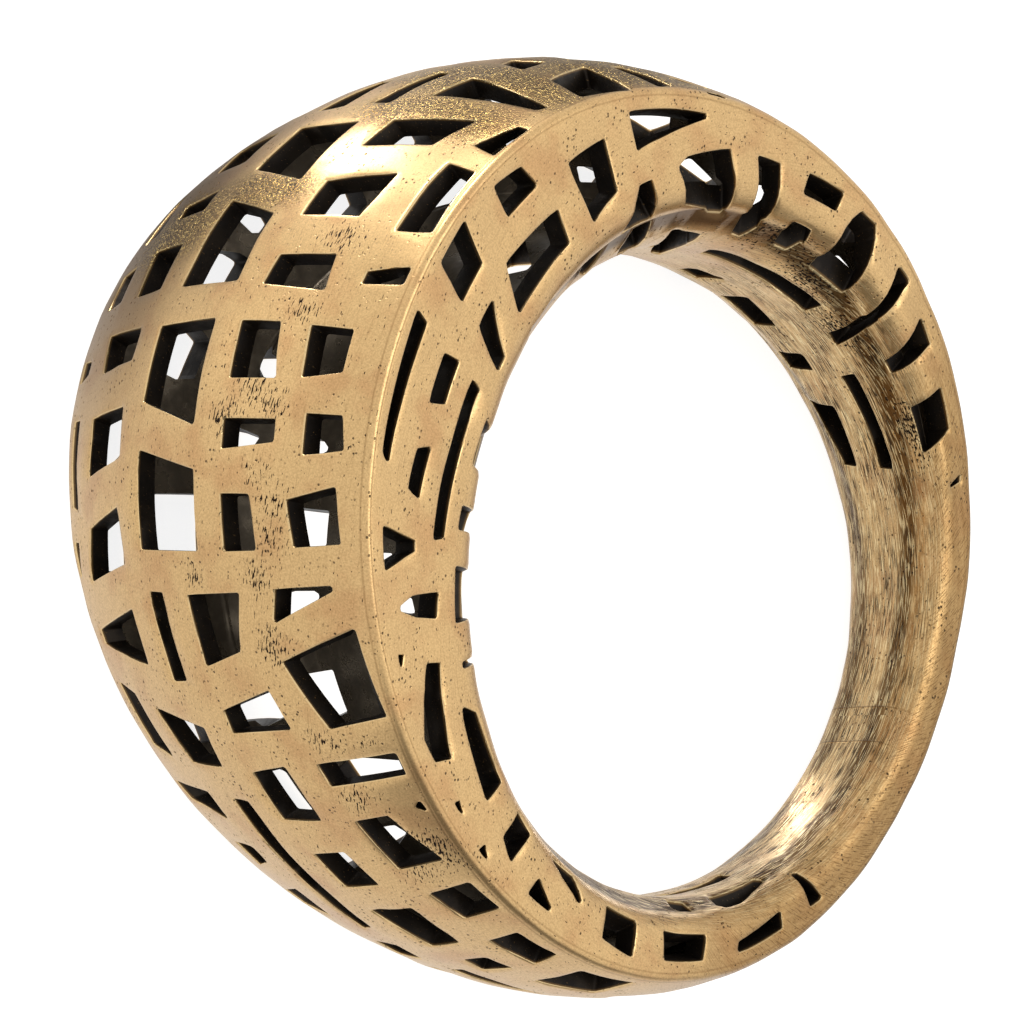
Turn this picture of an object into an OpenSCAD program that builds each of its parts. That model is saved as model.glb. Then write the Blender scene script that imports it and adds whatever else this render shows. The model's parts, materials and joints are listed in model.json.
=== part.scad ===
// Openwork ring: a hollow cast dome ring with pierced walls.
// It lies on one flat side wall, with the crown toward +X and the mouth of the finger hole upward.
// The origin is on the surface that it rests on, under the middle of its length and width.

/* [Finger hole] */
// Diameter of the finger hole where it is narrowest
finger_d = 17.3; // [16.6:0.1:18]
// How far the sleeve flares out at its two mouths, taken round the ring
flare_mean = 0.60; // [0.5:0.02:0.7]
// How much more it flares at the crown than on average
flare_crown = 0.52; // [0.4:0.02:0.6]
// Second swell of the flare round the ring
flare_oval = -0.07; // [-0.1:0.01:0]
// Power of the flare curve from the middle of the sleeve to its mouths
flare_power = 5; // [4:1:6]
// Radius that rounds each mouth into the flat side wall
mouth_round = 0.85; // [0.7:0.05:0.95]

/* [Outline] */
// Mean radius of the sharp edge between dome and side walls
edge_mean = 11.9; // [11.8:0.05:12.2]
// How far that edge stands further out at the crown
edge_crown = 2.05; // [1.9:0.05:2.2]
// Second swell of the edge round the ring
edge_oval = 0.51; // [0.45:0.02:0.55]
// Third swell of the edge round the ring
edge_third = 0.19; // [0.15:0.01:0.22]

/* [Dome] */
// Mean rise of the dome above its edges
rise_mean = 0.76; // [0.7:0.02:0.9]
// How much more the dome rises at the crown
rise_crown = 0.57; // [0.5:0.01:0.6]
// Second swell of the rise round the ring
rise_oval = 0.13; // [0.1:0.01:0.16]

/* [Width] */
// Half width of the ring on the finger axis, between its two flat side walls
mid_half_w = 3.58; // [3.5:0.02:3.8]
// Rise of each side wall for each millimetre toward the crown
wall_slope = 0.206; // [0.19:0.002:0.22]

/* [Walls] */
// Thickness of the dome wall
dome_t = 0.6; // [0.55:0.05:0.75]
// Thickness of the flat side walls
side_t = 0.8; // [0.7:0.05:0.85]
// Thickness of the finger sleeve
sleeve_t = 0.75; // [0.7:0.05:0.85]
// Angle from the crown where the hollow ends and the solid back begins
hollow_end = 140; // [130:1:144]
// Least width of metal left between a gap and the sharp edge
edge_lip = 0.45; // [0.4:0.05:0.6]

/* [Hidden] */

brass = "#cfae79";
finger_r = finger_d / 2;
wall_tilt = atan(wall_slope);

// Stations round the ring and steps across its section
stations = 58;
dome_steps = 9;
round_steps = 3;
sleeve_shares = [0.8, 0.55, 0, -0.55, -0.8];
hollow_stations = 35;
hollow_shares = [1.12, 0.75, 0.35, -0.35, -0.75, -1.12];
hollow_dome_shares = [-1.12, -0.5, 0, 0.5, 1.12];

// How far the skin's section runs past the side walls before they are cut flat
skin_past = 0.3;
// How far a cutter stands out of the wall that it pierces, and past its inner face
cut_out = 0.6;
cut_past = 0.35;
// Half the length and half the depth of the block that holds everything between the side walls
block_l = 17;
block_d = 14;

// Each gap is a row of corners in order.
// Columns of a corner: degrees from the crown, millimetres up from the mid plane.
// Gaps of the dome wall: the band along the upper edge
DOME_UPPER = [
    [[-51, 2.5], [-51, 4.9], [-48, 5.0], [-48, 2.5]],
    [[-44, 3.5], [-43.5, 5.3], [-33.2, 5.4], [-36.2, 2.9]],
    [[-32.2, 3.0], [-29.2, 5.0], [-28.6, 5.2], [-28.7, 3.3]],
    [[-24.6, 4.1], [-24.4, 5.5], [-18.6, 5.5], [-20, 4.0]],
    [[-15.6, 4.5], [-15, 5.7], [-11.5, 5.6], [-11.5, 4.5]],
    [[-8, 4.2], [-7.2, 5.4], [-2.7, 5.4], [-2.7, 4.1]],
    [[2.2, 5.1], [2.8, 6.3], [5, 6.3], [3.6, 5.1]],
    [[8.6, 5.3], [9.3, 6.3], [18.3, 6.1], [18.6, 5.2]],
    [[22, 5.3], [21.3, 6.1], [27.2, 6.0], [27, 5.7]],
    [[38.3, 4.0], [36.7, 5.5], [43.8, 5.5], [45.9, 3.2]],
    [[49.7, 3.1], [48.9, 5.2], [51.6, 5.0], [51.8, 2.9]],
];
// The second band, between the upper edge and the middle
DOME_HIGH = [
    [[-103, 1.2], [-104, 2.6], [-94, 2.8], [-93, 1.2]],
    [[-88.2, 2.3], [-88, 3.2], [-80.2, 3.4], [-80, 2.4]],
    [[-74.5, 2.7], [-74.6, 3.9], [-68.6, 4.0], [-68.8, 2.6]],
    [[-63.9, 2.5], [-63.9, 4.0], [-55.9, 3.6], [-55.9, 2.5]],
    [[-24.8, 1.8], [-24.8, 2.9], [-19.4, 2.8], [-19.3, 1.8]],
    [[-15.1, 1.8], [-14.4, 3.6], [-12.2, 3.6], [-12.2, 1.8]],
    [[-8.3, 1.8], [-8.2, 3.4], [-2.6, 3.1], [-2.6, 1.7]],
    [[1.2, 2.0], [1, 4.1], [5, 4.0], [4.5, 2.1]],
    [[9.1, 2.1], [9.6, 4.0], [15.7, 4.2], [13.6, 2.1]],
    [[18.8, 2.2], [20.5, 4.3], [26, 4.6], [23.5, 2.2]],
    [[28.8, 2.2], [30.8, 5.4], [32.2, 5.5], [34.3, 2.2]],
    [[40.3, 1.6], [39, 2.8], [44, 2.3], [43.4, 1.1]],
    [[49, 0.9], [48.5, 2.0], [57, 2.2], [56, 0.9]],
    [[57, 2.9], [56.5, 4.2], [66, 3.9], [64, 2.9]],
    [[61, 0.8], [61.5, 2.1], [70, 2.2], [69, 0.8]],
    [[72, 2.8], [72, 3.6], [80, 3.4], [79, 2.7]],
    [[75, 0.8], [74, 1.9], [88, 1.9], [86, 0.8]],
    [[92, 1.0], [92, 2.4], [99, 2.2], [100, 1.0]],
    [[105, 0.9], [104, 2.2], [114, 2.0], [113, 0.9]],
];
// The band just above the middle, on the side away from the crown
DOME_MIDDLE = [
    [[-87.1, 0.6], [-87.9, 1.6], [-83.9, 1.5], [-83.7, 0.6]],
    [[-79.2, 0.4], [-79.2, 1.5], [-70.7, 1.6], [-70.4, 0]],
    [[-65.7, 0.1], [-65.9, 1.4], [-60.1, 1.3], [-60, 0.1]],
    [[-54.7, 0], [-55.3, 1.4], [-47.9, 1.4], [-48.4, 0]],
    [[-43.6, 0.1], [-43.6, 2.3], [-39.1, 2.1], [-41, 0.1]],
    [[-36.2, 0.1], [-34.8, 1.6], [-28.9, 2.1], [-28.9, 0.1]],
    [[-117, -0.6], [-116, 0.9], [-108, 0.9], [-109, -0.6]],
];
// The centre line: slots on the flanks and large gaps over the crown
DOME_CENTRE = [
    [[-98, -0.6], [-100, 0], [-87, -0.2], [-87.2, -0.8]],
    [[-75.4, -1.6], [-74.5, -1.0], [-52.3, -1.0], [-52, -1.7]],
    [[-37.7, -1.6], [-37.7, -1.0], [-28.6, -1.0], [-28.4, -1.6]],
    [[-24.3, -1.7], [-24.7, 0.8], [-17, 0.8], [-14.8, -1.7]],
    [[-10.2, -1.7], [-12.8, 0.7], [-2.4, 0.7], [-2.7, -1.7]],
    [[1.3, -1.4], [1.5, 1.0], [9.2, 1.0], [11.4, -1.3]],
    [[15.6, -1.3], [13.6, 1.1], [22.8, 1.1], [22.4, -1.3]],
    [[26.8, 0.5], [26.8, 1.1], [35.2, 1.1], [35.4, 0.6]],
    [[26.4, -1.8], [26.4, -0.6], [33.6, -0.7], [35, -1.8]],
    [[40, -1.0], [39.5, -0.2], [58, -0.2], [58.5, -0.9]],
    [[66, -0.9], [65.5, -0.2], [84, -0.2], [84, -0.9]],
    [[92, -0.7], [92, 0], [108, 0], [108, -0.7]],
];
// The band just below the middle
DOME_LOW = [
    [[-99, -2.3], [-98, -1.5], [-88, -1.6], [-89, -2.6]],
    [[-73, -4.0], [-74, -2.8], [-67.7, -2.8], [-70, -4.2]],
    [[-63.7, -3.6], [-62.5, -2.8], [-60, -2.8], [-59.8, -3.8]],
    [[-47.3, -2.6], [-47.7, -1.2], [-43, -1.1], [-40.8, -3.3]],
    [[-53.6, -4.7], [-55.3, -2.8], [-51.5, -2.9], [-51, -5.0]],
    [[-33.8, -5.3], [-36, -2.7], [-30.1, -2.7], [-32.3, -5.3]],
    [[-27.2, -5.0], [-25.6, -2.7], [-20, -2.8], [-21.8, -4.6]],
    [[-16.7, -4.6], [-15.3, -2.7], [-10.3, -2.8], [-10.9, -4.6]],
    [[-6.3, -4.5], [-5.7, -2.8], [-2.4, -2.8], [-2.3, -4.7]],
    [[1.4, -3.8], [1.5, -2.5], [6.8, -2.5], [6.8, -4.0]],
    [[10.8, -3.9], [10.8, -2.5], [13.7, -2.5], [12.8, -4.1]],
    [[18, -4.1], [17.8, -2.5], [23, -2.5], [22.5, -4.4]],
    [[28, -4.6], [27.5, -2.8], [35, -2.8], [33, -4.9]],
    [[41, -3.2], [40.5, -2.0], [49, -2.0], [48.5, -3.6]],
    [[54, -3.4], [54.5, -1.9], [62, -1.9], [61, -3.2]],
    [[70, -2.9], [69, -1.9], [80, -1.9], [79, -3.0]],
    [[88, -2.8], [87, -1.7], [95, -1.7], [96, -2.7]],
];
// The band along the lower edge
DOME_LOWER = [
    [[-46, -4.9], [-47.2, -3.8], [-39.4, -4.3], [-38.2, -5.3]],
    [[-19.3, -6.0], [-19.8, -5.6], [-10.5, -5.7], [-10.4, -6.1]],
    [[1.4, -5.8], [1.6, -4.9], [6, -5.0], [5.6, -5.9]],
    [[9.8, -5.9], [10, -5.0], [17, -5.3], [16.4, -6.0]],
    [[40, -5.2], [39, -4.2], [46, -4.2], [47, -5.0]],
];

// Gaps of the upper side wall. Columns of a corner: degrees from the crown, radius in millimetres.
// A gap that runs on into the sleeve reaches deeper: a row starts with its depth in millimetres.
WALL_GAPS = [
    [1.2, [-52, 11.6], [-51.2, 12.2], [-47.8, 12.4], [-38.8, 11.9], [-39.3, 11.4]],
    [1.2, [-33.4, 11.4], [-32.8, 12.2], [-31.6, 12.9], [-30.2, 12.3], [-30, 11.3]],
    [1.2, [-27.2, 13.4], [-22.2, 13.6], [-23.6, 12.3], [-24.9, 12.3]],
    [1.2, [-22.9, 11.2], [-23.3, 11.6], [-1.4, 11.4], [-2, 11.0]],
    [1.2, [-15.8, 13.7], [-14.5, 14.0], [1.2, 14.2], [0.6, 13.7]],
    [1.2, [-18.6, 12.3], [-17.6, 12.8], [-12.8, 12.7], [-12, 12.2]],
    [1.2, [-6.4, 12.1], [-7.2, 12.7], [-0.9, 12.7], [-0.6, 12.1]],
    [1.2, [1.8, 10.6], [5, 11.9], [9.2, 11.9], [4.4, 10.6]],
    [1.2, [5.6, 12.8], [7.1, 14.1], [12.8, 14.1], [11.2, 12.8]],
    [1.2, [10.8, 10.8], [14, 12.1], [25.6, 11.8], [24.9, 10.8]],
    [1.2, [18, 12.9], [18.5, 13.9], [23.2, 13.6], [24.2, 12.8]],
    [1.2, [30.7, 10.7], [30.1, 12.6], [37.2, 12.5], [37, 11]],
    [1.2, [42.5, 11.7], [42.4, 12.8], [58.3, 12.0], [50, 11.8]],
    [1.9, [36.5, 9.4], [41.5, 10.8], [44.3, 10.8], [40.5, 9.3]],
    [1.2, [50.7, 10], [50.5, 10.9], [61.4, 11.1], [60.2, 10]],
    [1.6, [65, 9.2], [67.2, 11], [72.4, 10.9], [71, 9.2]],
    [1.2, [78.6, 10.5], [79, 10.9], [86.8, 10.9], [84.6, 10.4]],
    [1.5, [87.5, 8.5], [91.3, 10.9], [96.6, 10.8], [95.5, 8.5]],
    [2.0, [105, 8.5], [103, 10.6], [106.4, 10.5], [108.5, 8.5]],
    [1.3, [114, 8.5], [112.3, 10.4], [117, 10.3], [117, 8.5]],
    [1.0, [123.6, 8.8], [124, 10.1], [130.8, 10], [132, 8.9]],
    [1.0, [-145, 10], [-142, 10], [-141.2, 8.7], [-142.5, 8.9]],
    [1.1, [-135, 9.6], [-134.8, 10.1], [-124, 10.3], [-124.5, 10]],
    [1.2, [-116.6, 9.7], [-116.2, 10.4], [-107.5, 10.5], [-106.5, 9.7]],
    [1.2, [-99.8, 9.7], [-100.4, 10.7], [-93.2, 10.6], [-92.4, 9.7]],
    [1.2, [-70.8, 10], [-70.6, 11.1], [-66.8, 10.9], [-66.2, 10]],
    [1.2, [-60.2, 10.1], [-60.7, 10.9], [-46.2, 10.8], [-48.2, 10.3]],
    [1.2, [-82.6, 11.0], [-76.2, 11.2], [-76.5, 10.6]],
];
// Gaps of the lower side wall, which the ring lies on, in the same columns
UNDER_GAPS = [
    [1.2, [-26, 13.0], [-26, 13.6], [-20, 13.7], [-19.5, 13.1]],
    [1.2, [-14, 13.3], [-14, 13.8], [-8, 13.8], [-7.5, 13.3]],
    [1.2, [-24, 10.9], [-24, 12.2], [-16.5, 12.3], [-15.3, 11.0]],
    [1.2, [-1.6, 12.4], [-1.6, 12.9], [4, 12.9], [4.3, 12.4]],
    [1.2, [-49, 11.8], [-47.5, 12.3], [-43, 12.4], [-44, 11.9]],
    [1.2, [-75, 10.3], [-74.5, 10.7], [-70.5, 10.7], [-71.5, 10.3]],
    [1.2, [-65, 10.1], [-63, 10.7], [-55, 10.7], [-56.5, 10.1]],
    [1.6, [-49.5, 9.5], [-47, 10.7], [-44.5, 10.7], [-44.5, 9.5]],
    [1.2, [10, 12.5], [10.3, 13.1], [15.2, 13.1], [16.3, 12.4]],
    [1.2, [42, 12.1], [43, 12.6], [47, 12.6], [49, 12.1]],
    [1.2, [44, 10.1], [43.5, 10.7], [54.5, 11.1], [53, 10.5]],
    [1.6, [4.5, 9.6], [5, 10.4], [9, 10.4], [9, 9.6]],
    [1.3, [88, 8.6], [90, 10.5], [96, 10.4], [94.5, 8.6]],
];

// Gaps of the finger sleeve. Columns of a corner: degrees from the crown, millimetres up from the mid plane.
SLEEVE_GAPS = [
    [[42, 3.4], [43, 4.1], [47, 4.0], [49.5, 2.6]],
    [[55, 3.3], [64, 2.8], [72.5, -0.5], [66, 0.3]],
    [[62, 0.3], [71, -1.7], [69, -1.9], [61, -0.4]],
    [[72, 1.7], [99.3, 1.7], [99.5, 1.0], [74, 1.0]],
    [[82.5, -0.6], [88.3, -0.4], [86.3, -1.4], [82, -1.4]],
    [[94.3, -0.5], [103, -0.6], [102.6, -1.5], [93.6, -1.6]],
    [[110.3, -0.5], [114.3, -0.5], [113.6, -1.5], [109.6, -1.5]],
    [[122, -0.5], [134, -0.5], [133.5, -1.0], [121, -1.4]],
    [[115.5, 1.0], [134.8, 1.0], [134.3, 0.5], [115.8, 0.5]],
    [[-137, 1.2], [-128, 1.6], [-124.5, 1.6], [-124, 1.1]],
    [[-136.5, 0.2], [-119, 0.5], [-119, 0], [-137, -0.4]],
    [[-78, -0.9], [-77, 1.0], [-62, 1.2], [-64, -1.0]],
    [[-44, 0.3], [-43, 3.2], [-30, 3.0], [-32, 0.2]],
    [[-16, -2.6], [-15, 1.2], [3, 1.4], [4, -2.4]],
];

// Radius of the sharp edge at an angle from the crown
function edge_r(a) =
    edge_mean + edge_crown * cos(a) + edge_oval * cos(2 * a) + edge_third * cos(3 * a);

// Rise of the dome above its edges
function dome_rise(a) = rise_mean + rise_crown * cos(a) + rise_oval * cos(2 * a);

// Half width between the side walls at a radius and angle
function half_w(r, a) = mid_half_w + wall_slope * r * cos(a);

// Radius of the dome at an angle and a distance from the mid plane
function dome_r(a, y) = edge_r(a) + dome_rise(a) * (1 - pow(y / half_w(edge_r(a), a), 2));

// Flare of the sleeve at its mouths
function flare(a) = max(0.02, flare_mean + flare_crown * cos(a) + flare_oval * cos(2 * a));

// Radius of the sleeve at each mouth, and the half width where its rounding starts
function mouth_r(a) = finger_r + flare(a);
function mouth_rho(a) = min(mouth_round, 0.9 * half_w(mouth_r(a), a));
function sleeve_half_w(a) = half_w(mouth_r(a), a) - mouth_rho(a);

// A point of the ring, where the upper side wall faces +Z
function at(a, r, y) = [r * cos(a), -r * sin(a), y];

// Corner of a mouth's rounding: turn is 0 at the sleeve and 90 at the side wall
function mouth_point(a, turn, side) =
    let (
        r = mouth_r(a) + mouth_rho(a) * (1 - cos(turn)),
        y0 = sleeve_half_w(a),
        past = turn == 90 ? skin_past : 0
    )
    at(a, r, side * (y0 + (half_w(r, a) - y0) * sin(turn) + past));

// Closed loop of points round the outside of the ring's section, which runs past both side walls
function skin_loop(a) =
    let (we = half_w(edge_r(a), a) + skin_past, ws = sleeve_half_w(a))
    concat(
        [for (i = [0:dome_steps]) let (y = we * (2 * i / dome_steps - 1)) at(a, dome_r(a, y), y)],
        [for (i = [round_steps:-1:0]) mouth_point(a, 90 * i / round_steps, 1)],
        [for (q = sleeve_shares) at(a, finger_r + flare(a) * pow(abs(q), flare_power), q * ws)],
        [for (i = [0:round_steps]) mouth_point(a, 90 * i / round_steps, -1)]
    );

// Closed loop of points round the hollow's section, which runs past the inner faces of both side walls
function hollow_loop(a) =
    let (
        w_in = half_w(mouth_r(a) + sleeve_t, a) - side_t,
        w_out = half_w(edge_r(a), a) - side_t,
        r_in = finger_r + sleeve_t
    )
    concat(
        [for (q = hollow_dome_shares) at(a, dome_r(a, q * w_out) - dome_t, q * w_out)],
        [for (q = hollow_shares) at(a, r_in + flare(a) * pow(abs(q), flare_power), q * w_in)]
    );

// Triangles that join loop after loop of m points; closed rings wrap, open ones get two end caps
function tube_faces(loops, m, wraps) =
    concat(
        [for (i = [0:loops - (wraps ? 1 : 2)], j = [0:m - 1], upper = [0, 1])
            let (
                a = i * m + j,
                b = i * m + (j + 1) % m,
                c = ((i + 1) % loops) * m + (j + 1) % m,
                d = ((i + 1) % loops) * m + j
            )
            upper == 1 ? [a, c, b] : [a, d, c]],
        wraps ? [] : [[for (j = [0:m - 1]) j], [for (j = [m - 1:-1:0]) (loops - 1) * m + j]]
    );

// Everything between two planes that lie parallel to the side walls and inset from them
module between_walls(inset) {
    near_w = half_w(block_l, 0) - inset;
    back_w = half_w(block_l, 180) - inset;
    rotate([90, 0, 0])
    linear_extrude(height = 2 * block_d, center = true)
    polygon([[block_l, near_w], [-block_l, back_w], [-block_l, -back_w], [block_l, -near_w]]);
}

// Straight cutter along the radius at the middle angle of its corners, between two radii
module radial_cutter(corners, r_of_corner, r_from, r_to) {
    angles = [for (c = corners) c[0]];
    mid = (min(angles) + max(angles)) / 2;
    rotate([0, 0, -mid])
    translate([r_from, 0, 0])
    rotate([90, 0, 90])
    hull()
    linear_extrude(height = r_to - r_from)
    polygon([for (i = [0:len(corners) - 1]) [-r_of_corner[i] * sin(corners[i][0] - mid), corners[i][1]]]);
}

// Keeps a corner of a dome gap clear of the sharp edge
function clear_of_edge(a, y) =
    let (most = half_w(edge_r(a), a) - edge_lip)
    max(-most, min(most, y));

module dome_cutter(corners) {
    placed = [for (c = corners) [c[0], clear_of_edge(c[0], c[1])]];
    radii = [for (c = placed) dome_r(c[0], c[1])];
    radial_cutter(placed, radii, min(radii) - dome_t - cut_past, max(radii) + cut_out);
}

module sleeve_cutter(corners) {
    radii = [for (c = corners) finger_r];
    mouths = [for (c = corners) mouth_r(c[0])];
    radial_cutter(corners, radii, finger_r - 2 * cut_out, max(mouths) + sleeve_t + cut_past);
}

// Cutter square to the mid plane, whose ends follow the slope of the side wall
module wall_cutter(row, side) {
    depth = row[0];
    corners = [for (i = [1:len(row) - 1]) [row[i][0], min(row[i][1], edge_r(row[i][0]) - edge_lip)]];
    multmatrix([
        [1, 0, 0, 0],
        [0, 1, 0, 0],
        [side * wall_slope, 0, side, side * (mid_half_w - depth)],
        [0, 0, 0, 1]
    ])
    hull()
    linear_extrude(height = depth + cut_out)
    polygon([for (c = corners) [c[1] * cos(c[0]), -c[1] * sin(c[0])]]);
}

// Closed tube of triangles through loops of points
module tube(loops, wraps) {
    polyhedron(points = [for (l = loops, p = l) p], faces = tube_faces(len(loops), len(loops[0]), wraps));
}

// The casting without its gaps
module skin() {
    intersection() {
        tube([for (i = [0:stations - 1]) skin_loop(360 * i / stations)], true);
        between_walls(0);
    }
}

// The hollow between dome, side walls and sleeve
module hollow() {
    intersection() {
        tube([for (i = [0:hollow_stations - 1])
            hollow_loop(hollow_end * (2 * i / (hollow_stations - 1) - 1))], false);
        between_walls(side_t);
    }
}

// Where a point of the dome lies along X once the ring rests on its lower wall
function resting_x(a, y) = dome_r(a, y) * cos(a) * cos(wall_tilt) - y * sin(wall_tilt);

// Middle of the resting ring's length, which becomes the origin
crown_half_w = half_w(edge_r(0), 0);
back_half_w = half_w(edge_r(180), 180);
crown_x = max([for (q = [-1:0.05:1]) resting_x(0, q * crown_half_w)]);
back_x = min([for (q = [-1:0.05:1]) resting_x(180, q * back_half_w)]);
mid_x = (crown_x + back_x) / 2;

module openwork_ring() {
    color(brass)
    translate([-mid_x, 0, mid_half_w * cos(wall_tilt)])
    rotate([0, -wall_tilt, 0])
    difference() {
        skin();
        hollow();
        for (row = concat(DOME_UPPER, DOME_HIGH, DOME_MIDDLE, DOME_CENTRE, DOME_LOW, DOME_LOWER))
            dome_cutter(row);
        for (row = WALL_GAPS) wall_cutter(row, 1);
        for (row = UNDER_GAPS) wall_cutter(row, -1);
        for (row = SLEEVE_GAPS) sleeve_cutter(row);
    }
}

openwork_ring();
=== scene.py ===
"""Looks of an openwork ring: a hollow cast brass dome ring whose walls are pierced with irregular gaps.

The ring lies on its lower flat side wall, with the crown of its dome toward +X. The casting is one mesh.
Its skin starts as a flat chart, degrees round the ring by millimetres round the section. The gaps are cut
into the chart with straight cuts, and the chart is then wrapped onto the ring's form and given its hollow.
"""

import json
import logging
import math
from collections.abc import Callable, Iterable
from dataclasses import dataclass, field
from enum import Enum
from functools import lru_cache

import bmesh
import bpy
from mathutils import Matrix, Vector, noise


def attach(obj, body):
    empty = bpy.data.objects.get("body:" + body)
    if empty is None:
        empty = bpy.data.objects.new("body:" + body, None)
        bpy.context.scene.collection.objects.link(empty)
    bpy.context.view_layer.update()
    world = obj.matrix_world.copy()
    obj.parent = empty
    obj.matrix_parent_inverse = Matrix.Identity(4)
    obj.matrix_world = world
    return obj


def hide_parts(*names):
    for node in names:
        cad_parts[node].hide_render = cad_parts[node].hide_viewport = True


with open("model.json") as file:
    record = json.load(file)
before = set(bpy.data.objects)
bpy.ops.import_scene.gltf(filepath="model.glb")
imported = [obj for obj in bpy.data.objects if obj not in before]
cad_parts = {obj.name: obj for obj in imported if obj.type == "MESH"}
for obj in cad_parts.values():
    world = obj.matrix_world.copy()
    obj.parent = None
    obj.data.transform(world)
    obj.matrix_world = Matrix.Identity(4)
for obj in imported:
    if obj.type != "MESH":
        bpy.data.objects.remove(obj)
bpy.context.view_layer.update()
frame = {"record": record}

NODE = "openwork_ring"
BODY = "root"
MM = 0.001

# Millimetres of chart for each degree round the ring, about true at the middle of the wall
CHART_PER_DEGREE = 0.2

# Float attributes of the casting's mesh that tell its finishes what the surface is like at each corner, and
# where shade is painted on it
SURFACE_MARKS = ("edge", "mouth", "brushed", "hatched", "flank", "dull", "pitted", "grainy")

log = logging.getLogger("openwork_ring")

# A corner of a gap: degrees from the crown, and a height or a radius in millimetres
Corner = tuple[float, float]
Corners = tuple[Corner, ...]
# A patch of the surface: degrees from the crown and the reading of its middle, and how far it reaches in both
Patch = tuple[float, float, float, float]

# Gaps of the dome. Columns of a corner: degrees from the crown, millimetres up from the mid plane.
# The band along the upper edge
DOME_UPPER: tuple[Corners, ...] = (
    ((-51, 2.5), (-51, 4.9), (-48, 5.0), (-48, 2.5)),
    ((-44, 3.5), (-43.5, 5.3), (-33.2, 5.4), (-36.2, 2.9)),
    ((-32.2, 3.0), (-29.2, 5.0), (-28.6, 5.2), (-28.7, 3.3)),
    ((-24.6, 4.1), (-24.4, 5.5), (-18.6, 5.5), (-20, 4.0)),
    ((-15.6, 4.5), (-15, 5.7), (-11.5, 5.6), (-11.5, 4.5)),
    ((-8, 4.2), (-7.2, 5.4), (-2.7, 5.4), (-2.7, 4.1)),
    ((2.2, 5.1), (2.8, 6.3), (5, 6.3), (3.6, 5.1)),
    ((8.6, 5.3), (9.3, 6.3), (18.3, 6.1), (18.6, 5.2)),
    ((22, 5.3), (21.3, 6.1), (27.2, 6.0), (27, 5.7)),
    ((38.3, 4.0), (36.7, 5.5), (43.8, 5.5), (45.9, 3.2)),
    ((49.7, 3.1), (48.9, 5.2), (51.6, 5.0), (51.8, 2.9)),
    ((55, 5.05), (61, 4.8), (60, 4.6)),
    ((-56.5, 4.75), (-54.7, 4.75), (-55.5, 4.5)),
)
# The second band, between the upper edge and the middle
DOME_HIGH: tuple[Corners, ...] = (
    ((-103, 1.2), (-104, 2.6), (-94, 2.8), (-93, 1.2)),
    ((-88.2, 2.3), (-88, 3.2), (-80.2, 3.4), (-80, 2.4)),
    ((-74.5, 2.7), (-74.6, 3.9), (-68.6, 4.0), (-68.8, 2.6)),
    ((-63.9, 2.5), (-63.9, 4.0), (-55.9, 3.6), (-55.9, 2.5)),
    ((-24.8, 1.8), (-24.8, 2.9), (-19.4, 2.8), (-19.3, 1.8)),
    ((-15.1, 1.8), (-14.4, 3.6), (-12.2, 3.6), (-12.2, 1.8)),
    ((-8.3, 1.8), (-8.2, 3.4), (-2.6, 3.1), (-2.6, 1.7)),
    ((1.2, 2.0), (1, 4.1), (5, 4.0), (4.5, 2.1)),
    ((9.1, 2.1), (9.6, 4.0), (15.7, 4.2), (13.6, 2.1)),
    ((18.8, 2.2), (20.5, 4.3), (26, 4.6), (23.5, 2.2)),
    ((28.8, 2.2), (30.8, 5.4), (32.2, 5.5), (34.3, 2.2)),
    ((40.3, 1.6), (39, 2.8), (44, 2.3), (43.4, 1.1)),
    ((49, 0.9), (48.5, 2.0), (57, 2.2), (56, 0.9)),
    ((57, 2.9), (56.5, 4.2), (66, 3.9), (64, 2.9)),
    ((61, 1.1), (61.5, 2.1), (70, 2.2), (69, 1.0)),
    ((72, 2.8), (72, 3.6), (80, 3.4), (79, 2.7)),
    ((75, 0.8), (74, 1.9), (88, 1.9), (86, 0.8)),
    ((92, 1.0), (92, 2.4), (99, 2.2), (100, 1.0)),
    ((105, 0.9), (104, 2.2), (114, 2.0), (113, 0.9)),
)
# The band just above the middle, on the side away from the crown
DOME_MIDDLE: tuple[Corners, ...] = (
    ((-87.1, 0.6), (-87.9, 1.6), (-83.9, 1.5), (-83.7, 0.6)),
    ((-79.2, 0.4), (-79.2, 1.5), (-70.7, 1.6), (-70.4, 0)),
    ((-65.7, 0.1), (-65.9, 1.4), (-60.1, 1.3), (-60, 0.1)),
    ((-54.7, 0), (-55.3, 1.4), (-47.9, 1.4), (-48.4, 0)),
    ((-43.6, 0.1), (-43.6, 2.3), (-39.1, 2.1), (-41, 0.1)),
    ((-36.2, 0.1), (-34.8, 1.6), (-28.9, 2.1), (-28.9, 0.1)),
    ((-117, -0.6), (-116, 0.9), (-108, 0.9), (-109, -0.6)),
)
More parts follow.
